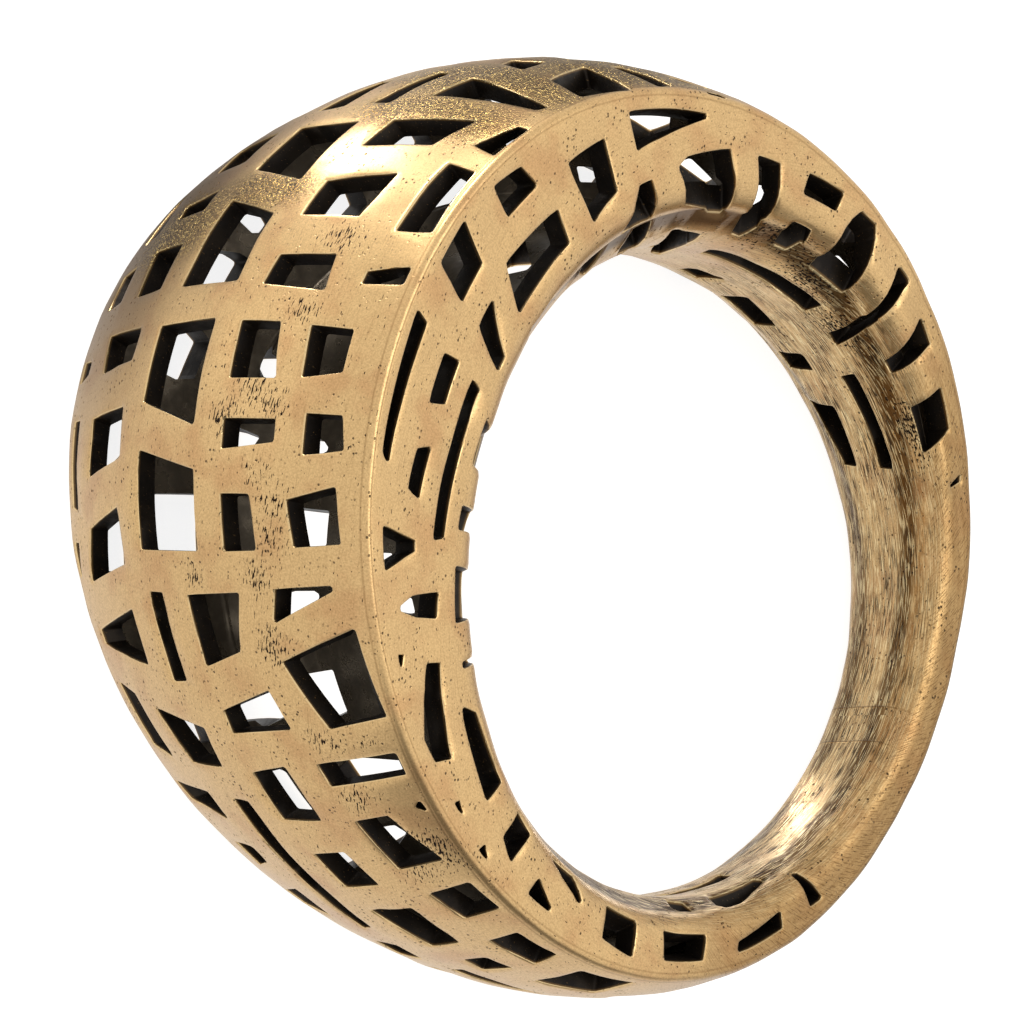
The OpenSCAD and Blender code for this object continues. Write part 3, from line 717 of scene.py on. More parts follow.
@dataclass
class Casting:
    """The one-piece hollow casting.

    Attributes:
        form: The ring's sizes and surfaces.
        gaps: Maker of the gaps' outlines.
        columns: Columns of the chart round the ring.
        panels: Panels that the chart is cut in.
        dome_rows: Rows of the chart across the dome.
        edge_rows: Rows over half of the softened edge.
        wall_rows: Rows down a side wall.
        mouth_rows: Rows round a mouth.
        sleeve_rows: Rows along the sleeve.
        rim_round: Radius that softens the rim of each gap, in millimetres.
        rim_middle: Share of that radius at which the rim has one more row of corners.
        rim_reach: Width of the worn band round each gap, in millimetres.
        search: Millimetres of chart past the ends of a gap in which its cuts look for faces.
        snap: How near a cut a corner of the mesh may lie to be taken as on it, in millimetres.
        panel_snap: How near two corners on the border of two panels are joined, in millimetres.
        weld: How near two corners at the hollow's end are joined, in millimetres.
        slack: Degrees by which the angle of a column may be off.
        angle_decimals: Decimals of an angle for which a section is worked out only once.
        waviness: Depth of the hand-filed surface's waves in millimetres.
        wave_length: Their size across, in millimetres.
        crease: Degrees between two faces from which the edge between them stays sharp.
        back_from: Degrees from the crown over which the finish turns into the brushed back of the band.
        low_flank: Millimetres below the mid plane over which painted shade darkens the dome's flank.
        flank_from: Degrees from the crown over which that painted shade on the flank begins.
        brushed_from: Degrees from the crown over which the sleeve turns from cast to brushed.
        sleeve_dullness: How dull the brushed part of the sleeve is, from 0 to 1.
        back_dullness: How dull the back of the band is, from 0 to 1.
        grainy_rise: Factor on the depth in a grainy patch, so that all but its border has the full grain.
        grainy_end: Millimetres from the sharp edge over which the dome's grain ends.
    """

    form: RingForm = field(default_factory=RingForm)
    gaps: GapMaker = field(default_factory=GapMaker)
    columns: int = 240
    panels: int = 24
    dome_rows: int = 22
    edge_rows: int = 3
    wall_rows: int = 8
    mouth_rows: int = 5
    sleeve_rows: int = 12
    rim_round: float = 0.05
    rim_middle: float = 0.3
    rim_reach: float = 0.14
    search: float = 0.4
    snap: float = 0.003
    panel_snap: float = 0.001
    weld: float = 1e-5
    slack: float = 0.01
    angle_decimals: int = 4
    waviness: float = 0.03
    wave_length: float = 1.1
    crease: float = 50
    back_from: tuple[float, float] = (100, 135)
    low_flank: tuple[float, float] = (0.8, 3.8)
    flank_from: tuple[float, float] = (-22, 2)
    brushed_from: tuple[float, float] = (60, 110)
    sleeve_dullness: float = 0.5
    back_dullness: float = 0.45
    grainy_rise: float = 2
    grainy_end: float = 0.3

    def row_runs(self, section: Section) -> list[float]:
        """Runs of the chart's rows at one section, from the lower edge round to the lower edge again.

        Args:
            section: Sizes of the section.

        Returns:
            The runs, in millimetres.
        """
        edge = section.edge_run
        soft = self.form.edge_soft
        lower_foot = 2 * section.half_round - section.foot_run
        lower_sleeve = 2 * section.half_round - section.sleeve_run
        lower_edge = 2 * section.half_round - edge
        stops = [
            (-edge, self.edge_rows),
            (-edge + soft, self.dome_rows),
            (edge - soft, self.edge_rows),
            (edge, self.edge_rows),
            (edge + soft, self.wall_rows),
            (section.foot_run, self.mouth_rows),
            (section.sleeve_run, self.sleeve_rows),
            (lower_sleeve, self.mouth_rows),
            (lower_foot, self.wall_rows),
            (lower_edge - soft, self.edge_rows),
            (lower_edge, 1),
        ]
        runs = [
            start + (end - start) * step / steps
            for (start, steps), (end, _) in zip(stops, stops[1:])
            for step in range(steps)
        ]
        return runs + [lower_edge]

    def panel(self, first_column: int, columns: int) -> bmesh.types.BMesh:
        """A panel of the flat chart, before its gaps are cut.

        Args:
            first_column: Where the panel starts, in columns from the back of the ring.
            columns: How many columns it has.

        Returns:
            The panel.
        """
        bm = bmesh.new()
        rows = len(self.row_runs(self.form.section(0.0))) - 1
        bmesh.ops.create_grid(bm, x_segments=columns, y_segments=rows, size=0.5)
        runs: dict[int, list[float]] = {}
        for vert in bm.verts:
            column = first_column + round((vert.co.x + 0.5) * columns)
            row = round((vert.co.y + 0.5) * rows)
            angle = 360 * column / self.columns - 180
            if column not in runs:
                runs[column] = self.row_runs(self.form.section(angle))
            vert.co = Vector((angle * CHART_PER_DEGREE, runs[column][row], 0))
        return bm

    def chart(self) -> bmesh.types.BMesh:
        """The whole chart with its gaps, cut panel by panel because cuts in a small mesh are quick.

        A panel is cut with a spare column on both sides, so that a gap crosses its border at the same
        places as in the next panel.

        Returns:
            The chart, with marks of wear round the gaps.
        """
        whole = bmesh.new()
        outlines = self.outlines()
        columns = self.columns // self.panels
        for first_column in range(0, self.columns, columns):
            bm = self.panel(first_column - 1, columns + 2)
            self.cut_gaps(bm, outlines)
            start, end = (
                (360 * column / self.columns - 180) * CHART_PER_DEGREE
                for column in (first_column, first_column + columns)
            )
            spare = [face for face in bm.faces if not start < face.calc_center_median().x < end]
            bmesh.ops.delete(bm, geom=spare, context="FACES")
            sheet = bpy.data.meshes.new("panel")
            bm.to_mesh(sheet)
            bm.free()
            whole.from_mesh(sheet)
            bpy.data.meshes.remove(sheet)
        border = [vert for vert in whole.verts if vert.is_boundary]
        bmesh.ops.remove_doubles(whole, verts=border, dist=self.panel_snap)
        return whole

    def section_near(self, angle: float) -> Section:
        """The section at an angle from the crown, shared by all places of nearly the same angle."""
        return self.form.section(round(angle, self.angle_decimals))

    def section_at(self, place: Vector) -> Section:
        """The section at a place on the chart."""
        return self.section_near(place.x / CHART_PER_DEGREE)

    def cut(
        self, bm: bmesh.types.BMesh, faces: Iterable[bmesh.types.BMFace], outline: Outline, grown: float
    ) -> list[bmesh.types.BMFace]:
        """Cuts faces along an outline.

        Args:
            bm: The chart.
            faces: Faces that the outline may cross.
            outline: The outline to cut along.
            grown: How far outside the outline the cut runs, in millimetres.

        Returns:
            The faces that lie inside the cut.
        """
        inside = [
            face
            for face in faces
            if all(any(side.past(v.co) < grown for v in face.verts) for side in outline.sides)
        ]
        for side in outline.sides:
            verts = {vert for face in inside for vert in face.verts}
            edges = {edge for face in inside for edge in face.edges}
            normal = Vector((side.out.x, side.out.y, 0))
            result = bmesh.ops.bisect_plane(
                bm,
                geom=[*verts, *edges, *inside],
                dist=self.snap,
                plane_co=normal * ((side.reach + grown) / normal.length_squared),
                plane_no=normal,
            )
            inside = [
                element
                for element in result["geom"]
                if isinstance(element, bmesh.types.BMFace)
                and side.past(element.calc_center_median()) < grown
            ]
        return inside

    def open_gap(self, bm: bmesh.types.BMesh, outline: Outline) -> None:
        """Cuts one gap into the chart, with the worn band and the rounded rim round it.

        Args:
            bm: A panel of the chart, in the readings of the gap's zone.
            outline: The gap's outline.
        """
        low = outline.low - self.rim_reach - self.search
        high = outline.high + self.rim_reach + self.search
        faces = [face for face in bm.faces if low < face.verts[0].co.x < high]
        if not faces:
            return
        worn = bm.verts.layers.float["worn"]
        sunk = bm.verts.layers.float["sunk"]
        for grown in (self.rim_reach, self.rim_round, self.rim_middle * self.rim_round, 0.0):
            faces = self.cut(bm, faces, outline, grown)
            for vert in {vert for face in faces for vert in face.verts}:
                gap = max(0.0, outline.past(vert.co))
                inward = max(0.0, self.rim_round - gap)
                vert[worn] = max(vert[worn], 1 - gap / self.rim_reach)
                vert[sunk] = max(vert[sunk], self.rim_round - math.sqrt(self.rim_round**2 - inward**2))
        bmesh.ops.delete(bm, geom=faces, context="FACES")

    def charted_gaps(self) -> dict[Zone, list[Corners]]:
        """All gaps by the zone in whose readings they are cut.

        Returns:
            For each zone, the corners of its gaps.
        """
        found: dict[Zone, list[Corners]] = {
            Zone.DOME: [*DOME_UPPER, *DOME_HIGH, *DOME_MIDDLE, *DOME_CENTRE, *DOME_LOW, *DOME_LOWER],
            Zone.UPPER_WALL: list(UPPER_WALL),
            Zone.LOWER_WALL: list(LOWER_WALL),
            Zone.SLEEVE: list(SLEEVE),
        }
        for zone, rows in ((Zone.UPPER_WALL, UPPER_MOUTH), (Zone.LOWER_WALL, LOWER_MOUTH)):
            for on_wall, on_sleeve in rows:
                over = []
                for angle, height in on_sleeve:
                    section = self.form.section(angle)
                    over.append((angle, zone.reading(section, Zone.SLEEVE.run(section, height))))
                found[zone].append(on_wall + tuple(over))
        return found

    def outlines(self) -> dict[Zone, list[Outline]]:
        """Outlines of all gaps by zone.

        Returns:
            For each zone, the outlines of its gaps.
        """
        found: dict[Zone, list[Outline]] = {}
        for zone, rows in self.charted_gaps().items():
            found[zone] = []
            for corners in rows:
                middle = sum(angle for angle, _ in corners) / len(corners)
                section = self.form.section(middle)
                run = zone.run(section, sum(reading for _, reading in corners) / len(corners))
                radius = self.form.point(middle, run, self.form.sharp_skin).xy.length
                found[zone].append(self.gaps.outline(corners, math.radians(radius)))
        return found

    def cut_gaps(self, bm: bmesh.types.BMesh, outlines: dict[Zone, list[Outline]]) -> None:
        """Cuts the gaps into a panel of the chart.

        Args:
            bm: The panel.
            outlines: Outlines of all gaps by zone.
        """
        bm.verts.layers.float.new("worn")
        bm.verts.layers.float.new("sunk")
        for zone, found in outlines.items():
            for vert in bm.verts:
                vert.co.y = zone.reading(self.section_at(vert.co), vert.co.y)
            for outline in found:
                self.open_gap(bm, outline)
            for vert in bm.verts:
                vert.co.y = zone.run(self.section_at(vert.co), vert.co.y)

    def wrap(self, bm: bmesh.types.BMesh) -> None:
        """Wraps the chart onto the ring's form and keeps it as a UV map, in millimetres.

        The map's second axis starts at the middle of the sleeve, so that its lines run round the sleeve.

        Args:
            bm: The whole chart.
        """
        angle = bm.verts.layers.float.new("angle")
        run = bm.verts.layers.float.new("run")
        sunk = bm.verts.layers.float["sunk"]
        chart = bm.loops.layers.uv.new("chart")
        for face in bm.faces:
            for loop in face.loops:
                section = self.section_at(loop.vert.co)
                loop[chart].uv = (loop.vert.co.x, loop.vert.co.y - section.half_round)
        for vert in bm.verts:
            vert[angle] = vert.co.x / CHART_PER_DEGREE
            vert[run] = vert.co.y
        self.mark_wear(bm)
        for vert in bm.verts:
            skin = self.form.point(vert[angle], vert[run], self.form.soft_skin)
            inner = self.form.point(vert[angle], vert[run], self.form.inner_skin)
            wave = self.waviness * noise.noise(skin / self.wave_length)
            vert.co = skin + (inner - skin).normalized() * (vert[sunk] + wave)

    def mark_wear(self, bm: bmesh.types.BMesh) -> None:
        """Marks the kinds of surface over the casting, how far its edge and its mouth are, and where the
        dome's flank gets painted shade.

        Args:
            bm: The whole chart, with the angle and the run of each corner.
        """
        angle = bm.verts.layers.float["angle"]
        run = bm.verts.layers.float["run"]
        layers = {name: bm.verts.layers.float.new(name) for name in SURFACE_MARKS}
        for vert in bm.verts:
            section = self.section_near(vert[angle])
            nearest = min(abs(vert[run]), 2 * section.half_round - vert[run])
            sleeve = ramp(nearest, section.foot_run, section.sleeve_run)
            back = ramp(abs(vert[angle]), *self.back_from)
            # Where the dome's lower flank is darkened with painted shade
            low_flank = ramp(-vert[run], *self.low_flank) * ramp(vert[angle], *self.flank_from)
            height = Zone.SLEEVE.reading(section, vert[run])
            brushed = sleeve * ramp(abs(vert[angle]), *self.brushed_from)
            on_dome = 1 - ramp(nearest, section.edge_run - self.grainy_end, section.edge_run)
            grainy = crowding(vert[angle], vert[run], GRAINY_DOME)
            marks = {
                "edge": nearest - section.edge_run,
                "mouth": nearest - section.foot_run,
                "brushed": brushed,
                "hatched": back * (1 - sleeve),
                "flank": low_flank,
                "dull": max(self.sleeve_dullness * brushed, self.back_dullness * back),
                "pitted": max(
                    crowding(vert[angle], vert[run], PITTED_DOME),
                    crowding(vert[angle], height, PITTED_SLEEVE),
                ),
                "grainy": on_dome * min(1.0, self.grainy_rise * grainy),
            }
            for name, value in marks.items():
                vert[layers[name]] = value

    def close_seams(self, bm: bmesh.types.BMesh) -> None:
        """Joins the chart's first and last columns and rows where they meet on the ring.

        Args:
            bm: The skin.
        """
        angle = bm.verts.layers.float["angle"]
        run = bm.verts.layers.float["run"]
        border = []
        for vert in bm.verts:
            section = self.section_near(vert[angle])
            at_back = abs(vert[angle]) > 180 - self.slack
            at_edge = abs(vert[run] + section.edge_run) < self.snap
            at_other_edge = abs(vert[run] - 2 * section.half_round + section.edge_run) < self.snap
            if vert.is_boundary and (at_back or at_edge or at_other_edge):
                border.append(vert)
        bmesh.ops.remove_doubles(bm, verts=border, dist=self.snap)

    def give_hollow(self, bm: bmesh.types.BMesh) -> None:
        """Gives the skin its thickness: the hollow behind it, and the walls of its gaps.

        Args:
            bm: The skin, closed round the ring and round its section.
        """
        angle = bm.verts.layers.float["angle"]
        run = bm.verts.layers.float["run"]
        reach = self.form.hollow_end + self.slack
        skin = [face for face in bm.faces if all(abs(vert[angle]) < reach for vert in face.verts)]
        rims = [edge for edge in bm.edges if edge.is_boundary]
        copied = bmesh.ops.duplicate(bm, geom=skin)["geom"]
        lining = [element for element in copied if isinstance(element, bmesh.types.BMFace)]
        lining_verts = {vert for face in lining for vert in face.verts}
        worn = bm.verts.layers.float["worn"]
        walls = bmesh.ops.extrude_edge_only(bm, edges=rims)["geom"]
        wall_verts = {element for element in walls if isinstance(element, bmesh.types.BMVert)}
        for vert in lining_verts | wall_verts:
            vert.co = self.form.point(vert[angle], vert[run], self.form.inner_skin)
            vert[worn] = 0
        for element in walls:
            if isinstance(element, bmesh.types.BMFace):
                element.material_index = CastingFinish.GAP_WALL.value
        for face in lining:
            face.material_index = CastingFinish.HOLLOW.value
        bmesh.ops.reverse_faces(bm, faces=lining)
        meeting = [vert for vert in lining_verts | wall_verts if vert.is_boundary]
        bmesh.ops.remove_doubles(bm, verts=meeting, dist=self.weld)
        ends = [edge for edge in bm.edges if edge.is_boundary]
        caps = bmesh.ops.holes_fill(bm, edges=ends, sides=0)["faces"]
        for face in caps:
            face.material_index = CastingFinish.HOLLOW.value
        bmesh.ops.triangulate(bm, faces=caps)

    def build(self, placing: Matrix) -> bpy.types.Object:
        """Makes the casting.

        Args:
            placing: Takes the ring's own frame, in metres, to the row's frame.

        Returns:
            The finished object, without materials.
        """
        bm = self.chart()
        self.wrap(bm)
        self.close_seams(bm)
        self.give_hollow(bm)
        bmesh.ops.recalc_face_normals(bm, faces=bm.faces)
        if bm.calc_volume(signed=True) < 0:
            bmesh.ops.reverse_faces(bm, faces=bm.faces)
        open_edges = sum(1 for edge in bm.edges if not edge.is_manifold)
        volume = bm.calc_volume()
        bmesh.ops.transform(bm, matrix=placing @ Matrix.Scale(MM, 4), verts=bm.verts)
        for face in bm.faces:
            face.smooth = True
        for edge in bm.edges:
            edge.smooth = edge.calc_face_angle(0) < math.radians(self.crease)
        mesh = bpy.data.meshes.new("ring_casting")
        bm.to_mesh(mesh)
        bm.free()
        mesh.calc_loop_triangles()
        piece = bpy.data.objects.new("ring_casting", mesh)
        bpy.context.scene.collection.objects.link(piece)
        weighted = piece.modifiers.new("weighted normals", "WEIGHTED_NORMAL")
        weighted.keep_sharp = True
        gaps = sum(len(rows) for rows in self.charted_gaps().values())
        triangles = len(mesh.loop_triangles)
        log.info("ring_casting: %d gaps, %d triangles, %.1f mm3", gaps, triangles, volume)
        log.info("ring_casting: %d edges without two faces", open_edges)
        return piece


class CastingFinish(Enum):
    """The casting's finishes, by the number of their material slot."""

    OUTSIDE = 0
    GAP_WALL = 1
    HOLLOW = 2


class Tone(Enum):
    """Tones of the casting's metal and of what lies on it, as sRGB hex values."""

    GOLD = "#dab680"
    POLISHED = "#f0d9a6"
    GLINT = "#f0cb7c"
    ROSY = "#c08f62"
    BROWN = "#7d5c36"
    OCHRE = "#7d5a2b"
    BRONZE = "#70501f"
    UMBER = "#5a3c18"
    SOOT = "#2c1c0a"
    OXIDE = "#2b2018"
    BARE = "#93703f"
    HOLLOW = "#716656"
    GAP_WALL = "#241c13"
    BLACK = "#120d0a"


def linear(code: str) -> tuple[float, float, float, float]:
    """Linear colour of an sRGB hex value.

    Args:
        code: The colour as #rrggbb.

    Returns:
        Red, green, blue and an alpha of 1.
    """
    shares = [int(code[place:place + 2], 16) / 255 for place in (1, 3, 5)]
    red, green, blue = (c / 12.92 if c <= 0.04045 else ((c + 0.055) / 1.055) ** 2.4 for c in shares)
    return red, green, blue, 1.0


def add_node(
    tree: bpy.types.NodeTree,
    kind: str,
    settings: dict[str, object] | None = None,
    inputs: dict[int | str, object] | None = None,
) -> bpy.types.Node:
    """Adds a node with its settings, its values and its links.

    Args:
        tree: The node tree.
        kind: The node's type name.
        settings: Properties to set on the node.
        inputs: For each input, by name or number, a value or the socket that feeds it.

    Returns:
        The node.
    """
    node = tree.nodes.new(kind)
    for name, value in (settings or {}).items():
        setattr(node, name, value)
    for name, value in (inputs or {}).items():
        if isinstance(value, bpy.types.NodeSocket):
            tree.links.new(value, node.inputs[name])
        else:
            node.inputs[name].default_value = value
    return node


def surface_mark(tree: bpy.types.NodeTree, name: str) -> bpy.types.NodeSocket:
    """What the casting's mesh says of its surface in one of its marks."""
    return add_node(tree, "ShaderNodeAttribute", {"attribute_name": name}).outputs["Fac"]


def overlap(tree: bpy.types.NodeTree, *strengths: bpy.types.NodeSocket | float) -> bpy.types.NodeSocket:
    """Where several patterns lie on each other.

    Args:
        tree: The node tree.
        strengths: The patterns' strengths, and plain shares of them.

    Returns:
        Their product.
    """
    product = strengths[0]
    for strength in strengths[1:]:
        both = add_node(tree, "ShaderNodeMath", {"operation": "MULTIPLY"}, {0: product, 1: strength})
        product = both.outputs[0]
    return product


@dataclass(frozen=True)
class Levels:
    """The levels of a value between which a pattern rises smoothly from nothing to its full strength.

    Attributes:
        start: The value at which the pattern begins.
        full: The value at which it is full, which may be the lower one.
    """

    start: float
    full: float

    def strength(self, tree: bpy.types.NodeTree, value: bpy.types.NodeSocket) -> bpy.types.NodeSocket:
        """The pattern's strength, from 0 to 1, where its value is known.

        Args:
            tree: The node tree.
            value: The value that the levels are counted in.

        Returns:
            The strength.
        """
        smooth = add_node(
            tree,
            "ShaderNodeMapRange",
            {"interpolation_type": "SMOOTHSTEP"},
            {"Value": value, "From Min": self.start, "From Max": self.full},
        )
        return smooth.outputs["Result"]

    def about(
        self, tree: bpy.types.NodeTree, value: bpy.types.NodeSocket, middle: float
    ) -> bpy.types.NodeSocket:
        """The strength of a line, where the levels count from the line's middle to both sides.

        Args:
            tree: The node tree.
            value: The value that the line is placed by.
            middle: The value at the middle of the line.

        Returns:
            The strength, from 0 to 1.
        """
        away = add_node(tree, "ShaderNodeMath", {"operation": "SUBTRACT"}, {0: value, 1: middle})
        away = add_node(tree, "ShaderNodeMath", {"operation": "ABSOLUTE"}, {0: away.outputs[0]})
        return self.strength(tree, away.outputs[0])


@dataclass(frozen=True)
class Marks:
    """A scattered pattern of marks, sized by the real marks that it stands for.

    Attributes:
        width: Width of a mark in millimetres.
        length: Its length in millimetres, along the chart's first axis, which runs round the ring.
        levels: Noise levels from which marks begin and at which they are full: higher ones leave fewer.
        detail: Finer noise on top of the marks, in octaves.
        turn: Degrees that the marks are turned from the chart's first axis.
        crowding: How much lower the levels are where the marks crowd.
    """

    width: float
    length: float
    levels: Levels
    detail: float = 2.0
    turn: float = 0.0
    crowding: float = 0.0

    def strength(
        self,
        tree: bpy.types.NodeTree,
        place: bpy.types.NodeSocket,
        crowded: bpy.types.NodeSocket | None = None,
    ) -> bpy.types.NodeSocket:
        """The marks over a surface.

        Args:
            tree: The node tree.
            place: Where a point of the surface is, in millimetres.
            crowded: Where the marks crowd, from 0 to 1.

        Returns:
            Their strength, from 0 to 1.
        """
        sized = add_node(
            tree,
            "ShaderNodeMapping",
            {"vector_type": "TEXTURE"},
            {
                "Vector": place,
                "Rotation": (0, 0, math.radians(self.turn)),
                "Scale": (self.length, self.width, self.width),
            },
        )
        cloud = add_node(
            tree,
            "ShaderNodeTexNoise",
            None,
            {"Vector": sized.outputs[0], "Scale": 1.0, "Detail": self.detail},
        )
        value = cloud.outputs["Fac"]
        if crowded is not None:
            value = add_node(
                tree,
                "ShaderNodeMath",
                {"operation": "MULTIPLY_ADD"},
                {0: crowded, 1: self.crowding, 2: value},
            ).outputs[0]
        return self.levels.strength(tree, value)


@dataclass(frozen=True)
class Pits:
    """Round casting pits that blackening has filled.

    Attributes:
        spacing: Typical distance between pits in millimetres.
        size: Radius of the largest in millimetres.
        bottom: Share of that radius within which a pit is quite filled.
    """

    spacing: float
    size: float
    bottom: float = 0.5

    def strength(self, tree: bpy.types.NodeTree, place: bpy.types.NodeSocket) -> bpy.types.NodeSocket:
        """The pits over a surface.

        Args:
            tree: The node tree.
            place: Where a point of the surface is, in millimetres.

        Returns:
            Their strength, from 0 to 1.
        """
        cells = add_node(tree, "ShaderNodeTexVoronoi", None, {"Vector": place, "Scale": 1 / self.spacing})
        reach = self.size / self.spacing
        return Levels(reach, self.bottom * reach).strength(tree, cells.outputs["Distance"])


@dataclass(frozen=True)
class Coat:
    """What covers the metal where one of a finish's patterns lies.

    Attributes:
        tone: Its tone.
        roughness: Its roughness.
        share: How much of what is under it a full pattern of it covers.
        relief: How far it stands proud in millimetres, below 0 where it is sunk.
    """

    tone: Tone
    roughness: float
    share: float = 1.0
    relief: float = 0.0

    def where(self, tree: bpy.types.NodeTree, *strengths: bpy.types.NodeSocket) -> "Layer":
        """The layer that the coat makes where several patterns lie on each other.

        Args:
            tree: The node tree.
            strengths: The patterns' strengths.

        Returns:
            The layer.
        """
        if self.share < 1:
            return Layer(overlap(tree, *strengths, self.share), self)
        return Layer(overlap(tree, *strengths), self)


@dataclass(frozen=True)
class Layer:
    """One layer of a finish.

    Attributes:
        strength: How much of its coat lies at a point.
        coat: The coat.
    """

    strength: bpy.types.NodeSocket
    coat: Coat


def lay(material: bpy.types.Material, tone: Tone, roughness: float, layers: Iterable[Layer]) -> None:
    """Lays a finish's layers on its bare metal, one over the other.

    Args:
        material: The material, with its plain shader.
        tone: The bare metal's tone.
        roughness: The bare metal's roughness.
        layers: The layers from the bottom up.
    """
    tree = material.node_tree
    shader = tree.nodes["Principled BSDF"]
    tint: bpy.types.NodeSocket | tuple[float, ...] = linear(tone.value)
    rough: bpy.types.NodeSocket | float = roughness
    height: bpy.types.NodeSocket | float = 0.0
    for layer in layers:
        share = layer.strength
        colours = {0: share, 6: tint, 7: linear(layer.coat.tone.value)}
        tint = add_node(tree, "ShaderNodeMix", {"data_type": "RGBA"}, colours).outputs[2]
        gloss = {0: share, 2: rough, 3: layer.coat.roughness}
        rough = add_node(tree, "ShaderNodeMix", {"data_type": "FLOAT"}, gloss).outputs[0]
        if layer.coat.relief:
            heights = {0: share, 1: layer.coat.relief, 2: height}
            height = add_node(tree, "ShaderNodeMath", {"operation": "MULTIPLY_ADD"}, heights).outputs[0]
    bump = add_node(tree, "ShaderNodeBump", None, {"Strength": 1.0, "Distance": MM, "Height": height})
    tree.links.new(tint, shader.inputs["Base Color"])
    tree.links.new(rough, shader.inputs["Roughness"])
    tree.links.new(bump.outputs["Normal"], shader.inputs["Normal"])


def plain_metal(name: str, metallic: float) -> bpy.types.Material:
    """A new material with a plain metal shader.

    Args:
        name: The material's name.
        metallic: How much of it is bare metal.

    Returns:
        The material.
    """
    made = bpy.data.materials.new(name)
    made.use_nodes = True
    made.node_tree.nodes["Principled BSDF"].inputs["Metallic"].default_value = metallic
    return made


def body_place(tree: bpy.types.NodeTree) -> bpy.types.NodeSocket:
    """A point's place on a piece or on the floor.

    Args:
        tree: The node tree.

    Returns:
        The place, in millimetres.
    """
    coordinates = add_node(tree, "ShaderNodeTexCoord")
    sized = add_node(
        tree,
        "ShaderNodeVectorMath",
        {"operation": "SCALE"},
        {0: coordinates.outputs["Object"], "Scale": 1 / MM},
    )
    return sized.outputs[0]


@dataclass(frozen=True)
class SurfacePlace:
    """Where a point of the casting's skin is, as the patterns of a finish read it.

    Attributes:
        body: Its place on the piece, in millimetres.
        chart: Its place on the flat chart, in millimetres.
        marks: What the mesh says of the surface there, by the name of the mark.
    """

    body: bpy.types.NodeSocket
    chart: bpy.types.NodeSocket
    marks: dict[str, bpy.types.NodeSocket]

    @classmethod
    def on(cls, tree: bpy.types.NodeTree) -> "SurfacePlace":
        """Adds the nodes that read the place.

        Args:
            tree: The node tree.

        Returns:
            The place, for the patterns of that tree.
        """
        chart = add_node(tree, "ShaderNodeUVMap", {"uv_map": "chart"}).outputs[0]
        marks = {name: surface_mark(tree, name) for name in ("worn", *SURFACE_MARKS)}
        return cls(body_place(tree), chart, marks)


